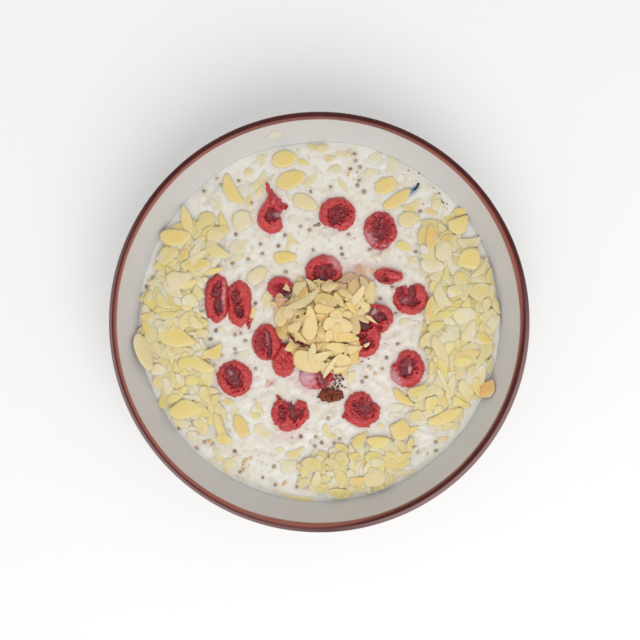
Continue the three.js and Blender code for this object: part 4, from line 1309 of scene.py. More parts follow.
# %% Flakes that lie open
# x, y, length and width in millimetres, turn in degrees, tone (0 golden, 1 pale), and shape:
# "egg", "wedge" (pointed, cut off behind), "cut" (one straight edge), "block" (two), "bean" (bent).
OPEN_FLAKES = (
    (-29.6, 82.3, 9, 7.5, -90, 0.7, "wedge"), (-36.1, 76.9, 8, 5, 35, 0.75, "egg"),
    (-29.6, 71.5, 13, 7, 50, 0.8, "bean"), (-39, 67.1, 8, 7, 20, 0.95, "egg"),
    (-35.7, 62.1, 9.5, 4.5, 80, 0.3, "egg"), (-31, 66.5, 8, 4.5, 60, 0.25, "cut"),
    (-57.4, 52.7, 8.5, 8, 0, 0.6, "egg"), (-53, 44.8, 10, 8, 30, 0.7, "block"),
    (-62.1, 37.6, 14, 7, 70, 0.95, "wedge"), (-77.2, 34, 11.5, 10, 60, 0.6, "block"),
    (-41.5, 39, 10.5, 9, 10, 0.9, "egg"), (-51.2, 35.8, 12, 8, -20, 0.65, "cut"),
    (-68.6, 34.7, 6, 5, 80, 0.1, "egg"), (-62.8, 29.3, 15.5, 6.5, 5, 0.22, "egg"),
    (-53.4, 26.4, 10.5, 4.5, 20, 0.3, "cut"), (-66.4, 19.5, 9.5, 6, 25, 0.5, "cut"),
    (-14.1, 41.9, 8.5, 4.5, -50, 0.3, "bean"), (-16.3, 38.5, 5, 3.5, 80, 0.45, "cut"),
    (-3.3, 73.6, 13, 4.5, 55, 0.75, "bean"), (-8, 81.6, 6.5, 4, -30, 0.5, "egg"),
    (-2.9, 89.5, 9, 4, -10, 0.6, "egg"), (-86.9, 13.4, 6, 3.8, 75, 0.7, "egg"),
    (-80, 10.2, 10.5, 5, -50, 0.55, "bean"), (-65.7, 10.9, 9.5, 8, 10, 0.85, "block"),
    (-76.5, 3.7, 10.5, 6, 10, 0.5, "cut"), (-87.3, 3, 8, 6, 30, 0.55, "cut"),
    (-34, 4.4, 8, 4.6, 95, 0.5, "block"), (-27, 10.6, 12, 6.5, 72, 0.85, "egg"),
    (-74, 15.5, 9, 6, -30, 0.9, "egg"), (-67, 1.5, 10, 7, 50, 0.6, "egg"),
    (-75.4, -4.2, 8, 4.5, 60, 0.75, "cut"), (-87.7, -3.4, 11, 4.5, -70, 0.4, "egg"),
    (-82.3, -24.3, 8.5, 7, 30, 0.8, "block"), (-67.8, -20.4, 9, 6, 20, 0.4, "egg"),
    (-53.4, -15.6, 10.5, 6.5, 30, 0.35, "bean"), (-64.6, -29.7, 7.5, 6, 0, 0.5, "egg"),
    (-37.5, -16, 8, 6.5, 40, 0.95, "wedge"), (-74.3, -38.7, 7, 5, 20, 0.45, "egg"),
    (-57.7, -37.3, 10, 6, -60, 0.6, "cut"), (-45.8, -41.2, 13.5, 4, -27, 0.4, "egg"),
    (-30.7, -43.8, 10, 3, -65, 0.7, "egg"), (-32.5, -48.1, 5, 4, -20, 0.45, "egg"),
    (-49.1, -47, 8, 3.5, -75, 0.7, "egg"), (-60.6, -53.2, 10, 8, -40, 0.7, "block"),
    (-48.7, -59.6, 8, 6, -20, 0.45, "egg"), (-70.7, -51, 9, 6.5, -30, 0.85, "egg"),
    (-28.5, -56, 10.5, 9, -20, 0.95, "egg"), (-64.6, -58.2, 7, 6, 0, 0.95, "egg"),
    (-50.2, -71.2, 17, 4, -62, 0.5, "egg"), (-45.5, -72.6, 8, 6, -10, 0.7, "egg"),
    (-55, -70.5, 5, 4, 40, 0.9, "cut"), (-12.3, -66.9, 10.5, 6.5, 30, 0.6, "cut"),
    (-19.9, -65.4, 4.5, 3.5, 0, 0.7, "egg"), (-3.7, -72.6, 12, 8, -10, 0.6, "block"),
    (-15.2, -74.1, 10, 8, 20, 1.0, "egg"), (-1.5, -79.5, 9, 6, 80, 0.8, "cut"),
    (-8, -82, 7.5, 5, 30, 0.75, "egg"), (-11.6, -90.4, 17, 5, -12, 0.35, "bean"),
    (-62.8, -0.5, 9, 7, -30, 0.7, "cut"), (-82, -14, 9, 5, -60, 0.8, "cut"),
    (5.6, 83.7, 6.5, 5, 0, 0.2, "cut"), (7.4, 78.3, 8.5, 6, 10, 0.8, "block"),
    (1.6, 88.8, 6, 5, 20, 0.6, "egg"), (12.4, 85.9, 8, 4.5, 0, 0.9, "egg"),
    (29, 84.1, 8.5, 6.5, 20, 0.9, "egg"), (37, 80.8, 10, 8.5, -60, 0.95, "block"),
    (27.6, 77.2, 8.5, 5, 10, 0.9, "cut"), (12.1, 70, 9.5, 3.6, -55, 0.65, "egg"),
    (48.1, 59.2, 11.5, 5.5, 28, 0.35, "bean"), (57.5, 56.3, 7.5, 5, -15, 0.05, "egg"),
    (60.4, 59.9, 8, 6, 60, 0.85, "block"), (66.5, 53.4, 9.5, 6, 50, 0.45, "cut"),
    (71.9, 56.3, 8, 5, 10, 0.4, "egg"), (43.8, 38.3, 9.5, 5.5, -25, 0.45, "egg"),
    (65.1, 42.6, 6, 4.5, 20, 0.15, "egg"), (63.6, 36.1, 10.5, 9, 60, 0.85, "egg"),
    (77, 40.4, 13, 6.5, 10, 0.85, "bean"), (82.7, 27.5, 14, 3.8, 52, 0.85, "bean"),
    (57.5, 28.9, 12, 9, -10, 0.9, "egg"), (64.7, 25.3, 11, 5, 80, 0.55, "wedge"),
    (72.7, 22.8, 8.5, 6, -30, 0.4, "block"), (87.3, 22.4, 10, 5, -70, 0.6, "bean"),
    (82, 15.9, 11, 9, 20, 0.6, "egg"), (69, 15.9, 9.5, 6.5, 10, 0.7, "block"),
    (61.8, 13, 13, 6.5, -58, 0.85, "bean"), (75.5, 10, 8, 6.5, 70, 0.6, "wedge"),
    (56.1, 7.3, 12.5, 4.6, 75, 0.2, "egg"), (74.1, 3.2, 13, 9.5, 5, 0.9, "egg"),
    (90, 8.7, 7, 4, -80, 0.7, "egg"), (64.7, 4.2, 9, 5, 20, 0.5, "cut"), (85.6, 3.8, 9, 6, 40, 0.7, "cut"),
    (48.5, 31.4, 7, 5, 20, 0.97, "block"), (27.9, 33.2, 5, 3.2, -50, 0.55, "cut"),
    (33.3, 34.4, 8, 4, 70, 0.97, "egg"), (43.8, 0, 7, 4.5, 20, 0.95, "egg"),
    (53.9, -7, 15, 5, 78, 0.35, "bean"), (59.4, -2, 9, 5, 20, 0.5, "egg"),
    (66.2, -13, 8.5, 6, 80, 0.6, "block"), (76.3, -4.6, 12, 8.5, 70, 0.9, "cut"),
    (84.2, -8.4, 9.5, 7, -30, 0.3, "cut"), (73, -20.2, 10.5, 6, 5, 0.4, "egg"),
    (82.7, -17.8, 15, 4, 66, 0.7, "egg"), (87.4, -22.1, 9, 6, 80, 0.9, "egg"),
    (62.9, -23.6, 10.5, 5, -75, 0.45, "egg"), (67.3, -21.5, 11, 3.2, -85, 0.8, "cut"),
    (57.1, -22.9, 7.5, 3, 85, 0.5, "egg"), (66.9, -33, 13.5, 5, 78, 0.75, "egg"),
    (63, -30, 14, 3, -65, 0.9, "egg"), (71.6, -40.9, 10, 6, -15, 0.4, "wedge"),
    (49.9, -34.8, 10.5, 6.5, 30, 0.45, "cut"), (57.1, -42, 10.5, 7.5, 80, 0.45, "block"),
    (39.1, -43.4, 10.5, 6, 10, 0.97, "cut"), (67.2, -52.4, 10.5, 6, 10, 0.65, "wedge"),
    (49.6, -48.1, 9, 6.5, 20, 0.7, "block"), (48.5, -54.6, 9, 4.6, 30, 0.4, "wedge"),
    (31.5, -53.5, 5, 3.5, 0, 0.4, "egg"), (20.4, -60.4, 9, 6.5, 50, 0.5, "egg"),
    (4.5, -56.8, 9.5, 5, -50, 0.5, "bean"), (63.3, -60, 6.5, 3.6, 15, 0.4, "egg"),
    (46.7, -62.5, 7.5, 4, 80, 0.6, "egg"), (42, -69, 10.5, 6, 28, 0.35, "cut"),
    (43.8, -77, 12.5, 4, 12, 0.75, "cut"), (18.2, -67.9, 8.5, 5, 30, 0.4, "wedge"),
    (11.4, -64, 7.5, 4, -20, 0.5, "egg"), (11, -68.3, 7, 5, 10, 0.65, "block"),
    (20, -80.6, 10.5, 6, 18, 0.15, "cut"), (11, -79.1, 8, 6, -60, 0.2, "egg"),
    (15.7, -77, 5.5, 4.5, 30, 1.0, "block"), (11.2, -87.8, 13.5, 7, -12, 0.4, "egg"),
    (7, -71.9, 9, 4.5, -30, 0.7, "egg"), (29.4, -71.2, 7, 5, 0, 0.85, "egg"),
    (35.9, -67.6, 5.5, 3.5, -20, 0.5, "egg"), (54, -9, 8, 5, 60, 0.8, "egg"),
    (88, 15, 8, 4, -80, 0.8, "cut"),
)
SHAPES = {
    "egg": (0.25, 0.0, ()),
    "wedge": (0.85, 0.0, ((math.pi, 0.55),)),
    "cut": (0.3, 0.0, ((math.radians(75), 0.55),)),
    "block": (0.1, 0.0, ((math.radians(20), 0.7), (math.radians(250), 0.6))),
    "bean": (0.25, 0.4, ()),
}
open_flakes = Flakes()
for x, y, length, width, degrees, tone, shape in OPEN_FLAKES:
    point, bow, breaks = SHAPES[shape]
    edge = flake_outline(length * MM, width * MM, breaks, point, bow, 32, 300 + len(open_flakes.skins))
    spot = np.array([x, y]) * MM
    near_wall = np.hypot(x, y) * MM + width * MM / 2 > edge_radius - 2 * MM
    skin, nearness = lay_flake(
        edge, spot, math.radians(degrees), 0.42 * MM, steepest=0.8 if near_wall else 0.22, press=76
    )
    open_flakes.keep(skin, nearness, tone, max(0, 0.55 * (tone - 0.35)) + maker.uniform(0, 0.12))
open_flakes.add("open_flakes", wet_almond, "wet_almond")

# %% [markdown]
# ## The heap of dry flakes
#
# The heap in the middle went on last and stays dry. Its flakes lie at all angles, some steeply tilted,
# with warm dark gaps between them. A smaller core carries them and closes the deepest gaps; its deep
# golden tone is painted shade, the warm shade that lies in the gaps between dry flakes. Small flakes fill
# the heap up to the height of the frame, and the large ones that lie on top follow, again where they
# really lie.

# %% Core of the heap
CORE_PART = 0.84
CORE_DROP = 2.0 * MM
CORE_SIDES = 96
CORE_RINGS = 30
# Tone of the core: a deep golden painted shade for the gaps in the heap.
CORE_SHADE_TONE = 0.12
heap_middle = np.array([(heap_low.x + heap_high.x) / 2, (heap_low.y + heap_high.y) / 2])


def core_height(spots):
    """Height of the heap of the frame, drawn in and lowered."""
    tall = map_value(np.maximum(heap_tops, porridge_level), (spots - heap_middle) / CORE_PART + heap_middle)
    return porridge_level + (tall - porridge_level) * CORE_PART - CORE_DROP


def core_skin():
    """Closed skin of the core, with lumps of two sizes on its top."""
    centre, reach = outline_of("almond_heap", CORE_SIDES)
    angles = np.arange(CORE_SIDES) * 2 * math.pi / CORE_SIDES
    made = []
    for part in np.concatenate([[0.9], np.linspace(1, 0.03, CORE_RINGS)]):
        radius = reach * CORE_PART * part
        spots = centre + np.stack([radius * np.cos(angles), radius * np.sin(angles)], -1)
        lumps = 0.5 * MM * waves(spots, 4 * MM, 51) + 0.25 * MM * waves(spots, 1.6 * MM, 52)
        height = core_height(spots) + lumps
        if not made:
            height = np.full(CORE_SIDES, porridge_level - 2.2 * MM)
        made.append(np.column_stack([spots, height]))
    made = np.array(made)
    return ring_skin(np.array([*centre, porridge_level - 2.4 * MM]), made, made[-1].mean(0))


heap_core = core_skin()
core_values = {key: np.zeros(len(heap_core[0])) for key in ("edge", "soaked", "stain", "milky")}
core_values["tone"] = np.full(len(heap_core[0]), CORE_SHADE_TONE)
add_piece("heap_core", heap_core, dry_almond, ["almond_heap"], core_values)
heights = np.where(heap_tops > 0, np.maximum(heights, core_height(places)), heights)

# %% Small dry flakes
HEAP_TRIES = 700
HEAP_ROOM = 2.7 * MM
HEAP_SPOTS = np.argwhere(heap_tops > 0)
# Where cherry juice stains the heap, and bays in it: x, y and reach in millimetres.
STAINS = ((22, 26, 9), (28, 20, 6), (13, 21, 7), (-18, 12, 6), (-15, 20, 5))
BAYS = ((26, -2, 7), (31, 2, 8), (24, -9, 4.5), (-10, -10.5, 3), (0, 24, 5), (-16.5, 13.5, 3))
heap_flakes = Flakes()


def heap_stain(spot):
    """Pink stain of the flakes that touch the cherries."""
    stain = 0.0
    for x, y, reach in STAINS:
        stain = max(stain, 1 - math.hypot(spot[0] / MM - x, spot[1] / MM - y) / reach)
    return 0.75 * stain


def bare(spot):
    """Whether a spot is in a bay of the heap, where the cherries lie open."""
    return any(math.hypot(spot[0] / MM - x, spot[1] / MM - y) < reach for x, y, reach in BAYS)


for row, column in HEAP_SPOTS[maker.integers(len(HEAP_SPOTS), size=HEAP_TRIES)]:
    spot = places[row, column]
    if heights[row, column] > heap_tops[row, column] - HEAP_ROOM or bare(spot):
        continue
    length = maker.uniform(7, 13) * MM
    width = length * maker.uniform(0.4, 0.7)
    edge = flake_outline(length, width, random_breaks(0.6), 0.4, 0, 20, len(heap_flakes.skins))
    skin, nearness = lay_flake(edge, spot, maker.uniform(0, 2 * math.pi), 0.5 * MM, 0.3, 0.7, 74)
    heap_flakes.keep(skin, nearness, maker.uniform(0.0, 0.8), 0, heap_stain(spot))
heap_flakes.add("heap_flakes", dry_almond, "dry_almond")

# %% Large dry flakes on top
# As above; the last two numbers are how steeply the flake rises towards its right and its far side.
TOP_FLAKES = (
    (-19.2, 3, 11, 8.5, 60, 0.8, "egg", 0.1, 0), (-15.3, 5.2, 9, 7, 20, 0.85, "egg", 0.2, 0.1),
    (-12.6, -2.5, 9, 6.5, 40, 0.6, "cut", 0.2, 0), (-9.3, -8, 10, 4, -40, 0.4, "cut", 0.4, 0.5),
    (-10.4, 17.3, 9.5, 7.5, 75, 0.85, "block", 0.2, -0.2),
    (-16.4, 17.0, 6, 4.5, -40, 0.9, "wedge", 0.2, 0.1), (-3.2, 18.4, 12, 3.2, -43, 0.8, "egg", 0.3, -0.4),
    (5.1, 17.9, 8.5, 6.5, 10, 0.75, "cut", 0, -0.4), (3.4, 10.6, 12, 9.5, -5, 0.35, "egg", 0, 0.15),
    (2.6, 6.5, 10.5, 7, 0, 0.3, "cut", 0, 0.1), (-7.1, 10.7, 18.5, 5.6, 32, 0.95, "bean", 0.1, -0.35),
    (-4.9, -0.3, 17.5, 9.8, 92, 0.55, "cut", 0, 0.05), (3, 1, 11, 5, -30, 0.1, "egg", 0.1, 0.2),
    (8.6, 3.8, 8, 6, 20, 0.45, "block", 0, 0), (9.5, -1.8, 16, 9.8, -10, 0.7, "egg", 0, 0.1),
    (12.8, -7.6, 12, 6, 5, 0.3, "egg", 0, 0.15), (5, -6.9, 7, 5, 80, 0.4, "egg", 0.1, 0.1),
    (7.8, -13, 13, 6, -3, 0.5, "block", 0, 0.15), (18, -13.6, 9.5, 6.5, 15, 0.6, "wedge", 0, 0.2),
    (-6, -20.4, 16, 12.5, -30, 0.65, "egg", -0.05, 0.1), (1.4, -17.2, 9, 7.5, 30, 0.7, "cut", 0, 0.2),
    (-3.8, -16.2, 12, 5, 78, 0.85, "egg", 0.2, 0.1), (12.2, -19.6, 9.5, 7.5, -20, 0.6, "egg", 0, 0.15),
    (11.1, -24, 8, 5, 20, 0.75, "cut", 0, 0.1), (5.6, -22.8, 14.5, 2.8, 63, 0.95, "egg", 0.1, 0.25),
    (26, 14, 14, 7.5, 80, 0.75, "egg", 0.1, 0.1), (15, 22.4, 10, 8, 30, 0.7, "block", 0.1, 0),
    (24.6, 26.4, 9.5, 7.5, -10, 0.7, "cut", 0, 0), (19.7, 26.4, 7.5, 3.6, 85, 0.5, "egg", 0.1, 0.1),
    (22.7, 18.4, 12, 5, 95, 0.85, "bean", 0.2, 0), (17.7, 18, 10, 6.4, 78, 0.4, "egg", 0.1, 0.1),
    (13.3, 14.4, 8, 4.4, -25, 0.6, "egg", 0, 0.2), (18.3, 11.8, 16, 5, 45, 0.9, "bean", 0.2, 0.2),
    (22.6, 8, 10, 5, -30, 0.7, "block", 0, 0.1), (16.5, 7, 8, 4, -50, 0.3, "cut", 0.2, 0.2),
    (13.9, 3.5, 7.5, 4.6, 0, 0.7, "block", 0, 0.1), (10, 11, 9, 4, -60, 0.5, "egg", 0.3, 0.1),
    (-18, 11.2, 7, 4.5, 10, 0.7, "wedge", 0, 0.1), (16.3, -28.3, 8.5, 5.5, 80, 0.95, "block", 0, 0),
    (24.2, -11.5, 4, 2.6, 40, 0.8, "cut", 0, 0.1), (26.6, 1.4, 7.5, 2.4, -32, 0.75, "cut", 0, 0.1),
)
DRY_THICKNESS = 0.55 * MM
top_flakes = Flakes()
for x, y, length, width, degrees, tone, shape, rise_right, rise_far in TOP_FLAKES:
    point, bow, breaks = SHAPES[shape]
    edge = flake_outline(length * MM, width * MM, breaks, point, bow, 36, 600 + len(top_flakes.skins))
    spot = np.array([x, y]) * MM
    rise = np.array([rise_right, rise_far]) * 0.7
    slope, height = rest_on(edge, math.radians(degrees), spot, DRY_THICKNESS, rise, 0.6, 72)
    *local, nearness = flake_local(edge, DRY_THICKNESS, maker.normal(0, 0.05, 2) + (0.04, 0.07), 0.03)
    skin = placed(local, math.radians(degrees), slope, (x * MM, y * MM, height))
    top_flakes.keep(skin, nearness, tone, 0, heap_stain(spot))
top_flakes.add("top_flakes", dry_almond, "dry_almond")

# %% [markdown]
# ## Dried fruit, seeds and oats
#
# One brown dried piece lies below the heap, with its crumbs. Chia seeds are grey-brown ovals a little
# over two millimetres long, half sunk in the milk. Some oats lift a corner out of it as beige and peach
# scraps.

# %% Dried fruit
dried_skin_finish, dried_shader = new_finish("dried_fruit_skin", Roughness=0.6, IOR=1.4)
dried_tone = ramp(
    dried_skin_finish,
    noise_value(dried_skin_finish, 700.0, 4.0, 0.65),
    [(0.3, (0.12, 0.022, 0.012)), (0.55, (0.25, 0.052, 0.026)), (0.8, (0.42, 0.13, 0.075))],
)
link(dried_skin_finish, dried_tone, dried_shader.inputs["Base Color"])
add_bump(dried_skin_finish, dried_shader, noise_value(dried_skin_finish, 1300.0, 3.0), 0.0005, 0.9)
dried_skin, dried_values = cherry_skin("dried_fruit", 700, folded=True)
add_piece("dried_piece", dried_skin, dried_skin_finish, ["dried_fruit"], dried_values)
print("dried piece points:", len(dried_skin[0]))


# %% Small ovals
# Rings of an oval, as degrees above its waist.
OVAL_TILTS = (-50, -10, 30, 65)


def oval_skin(spot, size, turn_angle, sides=10, roughness=0.0):
    """A small egg of the given length, width and height."""
    angles = np.arange(sides) * 2 * math.pi / sides
    rings = []
    for tilt in OVAL_TILTS:
        part = math.cos(math.radians(tilt))
        uneven = 1 + roughness * maker.normal(0, 1, sides)
        x = part * size[0] / 2 * np.cos(angles) * uneven
        y = part * size[1] / 2 * np.sin(angles) * uneven
        turned_x = x * math.cos(turn_angle) - y * math.sin(turn_angle)
        turned_y = x * math.sin(turn_angle) + y * math.cos(turn_angle)
        height = math.sin(math.radians(tilt)) * size[2] / 2
        rings.append(np.stack([turned_x, turned_y, np.full(sides, height)], -1))
    up = np.array([0, 0, size[2] / 2])
    spot = np.array(spot)
    return ring_skin(spot - up, np.array(rings) + spot, spot + up)


def tones_for(skins):
    """One random tone for each grain, repeated for all of its points."""
    return np.concatenate([np.full(len(skin[0]), maker.uniform(0, 1)) for skin in skins])


def grain_finish(name, tones, gloss=0.4):
    """Finish of a small grain: its own tone, mottled, and milky where it dips in."""
    material, shader = new_finish(name, Roughness=gloss, IOR=1.4)
    tone = ramp(material, stored_value(material, "tone"), tones)
    spots = remap(material, noise_value(material, 1500.0, 3.0), 0.4, 0.7, 0.0, 0.4)
    tone = mix(material, spots, tone, tones[0][1])
    tone = mix(material, stored_value(material, "milky"), tone, (0.70, 0.66, 0.58))
    link(material, tone, shader.inputs["Base Color"])
    add_bump(material, shader, noise_value(material, 2200.0, 2.0), 0.0002, 0.4)
    return material


def grain_milk(points, reach):
    """Milkiness of a grain: full below the surface, nothing `reach` above it."""
    above = points[:, 2] - map_value(milk_map, points[:, :2])
    return 0.9 * (1 - smooth_step(-0.1 * MM, reach, above))


def covered(here):
    """Whether something lies over the milk at a square of the map."""
    return heights[here] > milk_map[here] + 0.2 * MM


# %% Crumbs of the dried fruit
DRIED_CRUMBS = 46
# Middle and spread of the crumbs, in millimetres.
CRUMBS_MIDDLE = np.array([9.6, -29.8])
CRUMBS_SPREAD = np.array([1.9, 2.6])
crumbs = []
for _ in range(DRIED_CRUMBS):
    spot = CRUMBS_MIDDLE * MM + maker.normal(0, 1, 2) * CRUMBS_SPREAD * MM
    size = np.array([maker.uniform(0.6, 1.8), maker.uniform(0.5, 1.1), 0.9]) * MM
    place = (*spot, milk_map[map_index(spot)] + 0.4 * MM)
    crumbs.append(oval_skin(place, size, maker.uniform(0, math.pi), 8, 0.15))
add_piece("dried_crumbs", joined(crumbs), dried_skin_finish)
print("crumbs:", len(crumbs))

# %% Chia seeds
seed_coat = grain_finish(
    "chia_seed_coat",
    [(0.0, (0.26, 0.17, 0.10)), (0.5, (0.35, 0.25, 0.17)), (1.0, (0.44, 0.35, 0.26))],
)
FAINT_SEEDS = 60
# Length, width and height of a seed, in millimetres.
SEED_SIZE = np.array([2.5, 2.1, 1.4])
FAINT_SEED_SIZE = np.array([2.1, 1.7, 1.3])
seeds = []
for x, y in SEEDS_SEEN:
    spot = np.array([x, y]) * MM
    here = map_index(spot)
    if covered(here):
        continue
    size = SEED_SIZE * MM * maker.uniform(0.85, 1.1)
    place = (*spot, milk_map[here] - maker.uniform(0.0, 0.25) * MM)
    seeds.append(oval_skin(place, size, maker.uniform(0, math.pi)))
for _ in range(FAINT_SEEDS):
    spot = random_spot()
    here = map_index(spot)
    if covered(here):
        continue
    size = FAINT_SEED_SIZE * MM * maker.uniform(0.85, 1.1)
    place = (*spot, milk_map[here] - maker.uniform(0.4, 0.6) * MM)
    seeds.append(oval_skin(place, size, maker.uniform(0, math.pi)))
seed_skin = joined(seeds)
seed_values = {"tone": tones_for(seeds), "milky": grain_milk(seed_skin[0], 0.45 * MM)}
add_piece("chia_seeds", seed_skin, seed_coat, (), seed_values)
print("chia seeds:", len(seeds))

# %% Oats that lift a corner
oat_scrap = grain_finish(
    "soaked_oat",
    [(0.0, (0.66, 0.48, 0.32)), (0.4, (0.72, 0.60, 0.45)), (1.0, (0.75, 0.68, 0.56))],
    0.45,
)
OAT_SCRAPS = 420
oats = []
for _ in range(OAT_SCRAPS):
    spot = random_spot()
    here = map_index(spot)
    if covered(here):
        continue
    size = np.array([maker.uniform(1.5, 4.0), maker.uniform(1.0, 2.4), 0.7]) * MM
    place = (*spot, milk_map[here] - maker.uniform(0.15, 0.3) * MM)
    oats.append(oval_skin(place, size, maker.uniform(0, math.pi), 10, 0.12))
oat_skin = joined(oats)
oat_values = {"tone": tones_for(oats), "milky": grain_milk(oat_skin[0], 0.3 * MM)}
add_piece("soaked_oats", oat_skin, oat_scrap, (), oat_values)
print("oats:", len(oats))

# %% [markdown]
# ## The last small things
#
# A few things make this bowl this one: orange crumbs, torn strips of cherry skin, a flake that stuck to
# the wall, and black specks by a blue smear at the far right edge.

# %% Orange crumbs
orange_crumb = grain_finish(
    "orange_crumb",
    [(0.0, (0.74, 0.46, 0.22)), (0.5, (0.77, 0.56, 0.30)), (1.0, (0.77, 0.65, 0.44))],
)
# Where orange crumbs lie, how many, and how far they spread, in millimetres.
ORANGE_SPOTS = (
    (-37.5, -70.8, 8, 1.1), (-39.5, -74, 3, 0.8), (-57.4, -4.5, 2, 0.5), (28.5, -26, 2, 0.5),
    (-41, 23.4, 2, 0.5), (14.3, 75.4, 3, 1.0), (-18.2, -82.8, 3, 0.8), (15, 86.5, 3, 0.8),
    (-26, -31, 3, 1.2), (-56, -62, 3, 1.0),
)
orange_bits = []
for x, y, count, spread in ORANGE_SPOTS:
    for _ in range(count):
        spot = (np.array([x, y]) + maker.normal(0, spread, 2)) * MM
        size = np.array([maker.uniform(1.2, 2.1), maker.uniform(1.0, 1.6), 0.9]) * MM
        place = (*spot, milk_map[map_index(spot)] + 0.2 * MM)
        orange_bits.append(oval_skin(place, size, maker.uniform(0, math.pi), 10, 0.14))
bit_skin = joined(orange_bits)
bit_values = {"tone": tones_for(orange_bits), "milky": grain_milk(bit_skin[0], 0.3 * MM)}
add_piece("orange_crumbs", bit_skin, orange_crumb, (), bit_values)
print("orange crumbs:", len(orange_bits))

# %% Black specks
black_speck = grain_finish("black_speck", [(0.0, (0.012, 0.013, 0.015)), (1.0, (0.05, 0.055, 0.06))])
# x, y, length and width in millimetres, and turn in degrees.
SPECKS = (
    (50.5, 70.3, 2.6, 1.5, 60), (49.7, 68.8, 2.4, 1.3, 20), (48.6, 67.8, 2.0, 1.0, 10),
    (51.2, 76.2, 0.9, 0.7, 0), (61.4, 65.9, 1.2, 0.8, 30), (63.4, 61, 1.3, 0.8, -30),
    (65.3, 60.4, 0.9, 0.7, 0), (45.8, 77.6, 0.8, 0.6, 0), (43, 75.4, 0.6, 0.5, 0),
    (53.1, 60.3, 0.9, 0.5, 40), (62.6, 61.8, 0.8, 0.6, 0), (58.6, 68.6, 0.7, 0.5, 0),
    (47.8, -63.6, 1.0, 0.6, 80), (25.3, -18.9, 0.9, 0.6, 0), (22, -20.3, 0.8, 0.6, 0),
)
specks = []
for x, y, length, width, degrees in SPECKS:
    spot = np.array([x, y]) * MM
    size = np.array([length, width, 0.7]) * MM
    top = max(milk_map[map_index(spot)], heights[map_index(spot)])
    specks.append(oval_skin((*spot, top + 0.12 * MM), size, math.radians(degrees), 10, 0.1))
speck_skin = joined(specks)
speck_values = {"tone": tones_for(specks), "milky": np.zeros(len(speck_skin[0]))}
add_piece("black_specks", speck_skin, black_speck, (), speck_values)
print("specks:", len(specks))


# %% Strips of cherry
STRIP_RINGS = 26
STRIP_SIDES = 12


def strip_skin(points, widths, thickness, seed):
    """A torn strip along some points, resting on what is under it."""
    along = np.linspace(0, 1, len(points))
    fine = np.linspace(0, 1, STRIP_RINGS)
    route = np.stack([np.interp(fine, along, np.array(points)[:, axis]) for axis in (0, 1)], -1) * MM
    route += np.stack([0.35 * MM * waves(fine[:, None], 0.3, seed + axis) for axis in (0, 1)], -1)
    half = np.interp(fine, along, widths) * MM / 2 * (1 + 0.2 * waves(fine[:, None], 0.14, seed + 2))
    heading = np.gradient(route, axis=0)
    heading /= np.linalg.norm(heading, axis=1)[:, None]
    across = np.stack([-heading[:, 1], heading[:, 0]], -1)
    base = smooth_loop(np.maximum(heights, milk_map)[map_index(route)], 3)
    circle = np.arange(STRIP_SIDES) * 2 * math.pi / STRIP_SIDES
    rings = []
    for spot, side, wide, low in zip(route, across, half, base):
        flat = spot + side * (np.cos(circle) * wide)[:, None]
        rings.append(np.column_stack([flat, low + thickness * (0.35 + 0.65 * np.sin(circle))]))
    rings = np.array(rings)
    rings[..., 2] += 0.25 * MM * waves(rings, 1.5 * MM, seed + 3)
    return ring_skin(rings[0].mean(0), rings, rings[-1].mean(0))


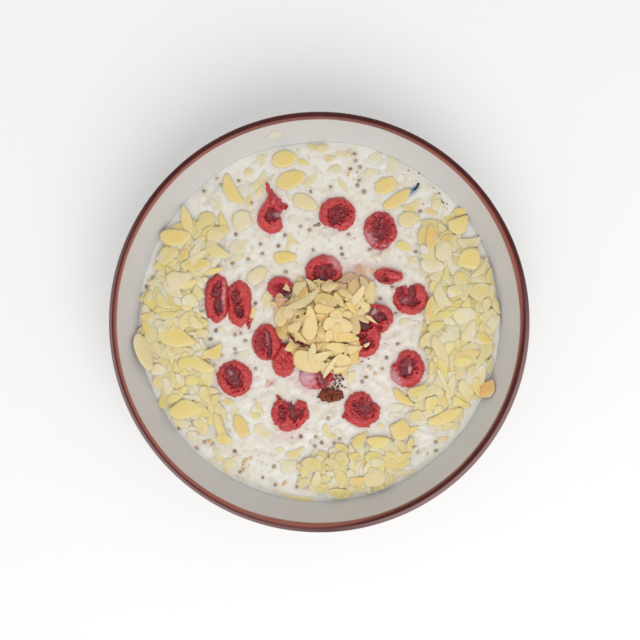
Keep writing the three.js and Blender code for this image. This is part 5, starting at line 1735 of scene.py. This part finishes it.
# Points along each strip and its widths, in millimetres, its thickness and how dark it is.
STRIPS = (
    (((-26.7, 71.2), (-26.2, 68), (-24.4, 65), (-22.6, 61.5)), (1.2, 2.6, 3.2, 4.2), 1.1, 0.05),
    (((-24.5, 63), (-20, 59.8), (-16.2, 58.4)), (4.5, 3.6, 2.6), 1.4, 0.2),
    (((-15.5, -6.5), (-12, -9.8), (-8, -11.6), (-4.4, -12.8)), (0.8, 1.9, 1.6, 0.7), 0.9, 1.0),
    (((26, 8.5), (29, 8), (33, 6.5), (36, 3), (35.4, -1.5)), (1.6, 2.4, 3.0, 3.4, 1.6), 1.3, 0.15),
    (((33.8, 24.5), (38, 23.4), (42.6, 22.2)), (3.2, 3.6, 1.4), 1.2, 0.0),
    (((-35.3, 1.5), (-36.2, -1.5), (-35.8, -3.4)), (2.6, 1.8, 1.0), 1.0, 0.1),
    (((27.5, 39.2), (31, 37.3), (35.2, 38.6)), (0.5, 0.9, 0.5), 0.5, 0.3),
    (((-21.6, -37.6), (-20.4, -39.2), (-19.6, -41)), (1.2, 2.2, 2.6), 1.0, 0.0),
    (((12, -48.6), (13.6, -48.2)), (1.2, 2.0), 1.0, 0.1),
)
strips = []
for number, (points, widths, thickness, _) in enumerate(STRIPS):
    strips.append(strip_skin(points, widths, thickness * MM, 60 * number))
strip_joined = joined(strips)
strip_values = {
    "inside": np.concatenate([np.full(len(skin[0]), row[3]) for skin, row in zip(strips, STRIPS)]),
    "milky": grain_milk(strip_joined[0], 0.25 * MM) * 0.5,
}
add_piece("cherry_strips", strip_joined, cherry_red, (), strip_values)
print("strips:", len(strips))


# %% A flake stuck to the wall
def on_wall(x, y, length, width, degrees, seed):
    """A flake lying on the inside of the bowl, turned from the level direction along the wall."""
    angle = math.atan2(y, x)
    radius = math.hypot(x, y) * MM
    height = np.interp(radius, wall_radius(wall_line), wall_line)
    step = 0.5 * MM
    rise = np.interp(radius + step, wall_radius(wall_line), wall_line) - height
    outward = np.array([math.cos(angle) * step, math.sin(angle) * step, rise])
    outward /= np.linalg.norm(outward)
    level = np.array([-math.sin(angle), math.cos(angle), 0])
    normal = np.cross(level, outward) * -1
    turn_angle = math.radians(degrees)
    along = level * math.cos(turn_angle) + outward * math.sin(turn_angle)
    axes = np.array([along, np.cross(normal, along), normal])
    edge = flake_outline(length * MM, width * MM, (), 0.3, 0.1, 32, seed)
    bow_along = 0.5 * length * MM / radius
    first, rings, last, nearness = flake_local(edge, 0.4 * MM, (bow_along, 0.02))
    centre = np.array([math.cos(angle) * radius, math.sin(angle) * radius, height]) + 0.25 * MM * normal
    return ring_skin(first @ axes + centre, rings @ axes + centre, last @ axes + centre), nearness


wall_flakes = Flakes()
skin, nearness = on_wall(-22.4, 94.6, length=8, width=6, degrees=8, seed=800)
wall_flakes.keep(skin, nearness, tone=1.0, soaked=0.62)
wall_flakes.add("wall_flakes", wet_almond, "wet_almond")
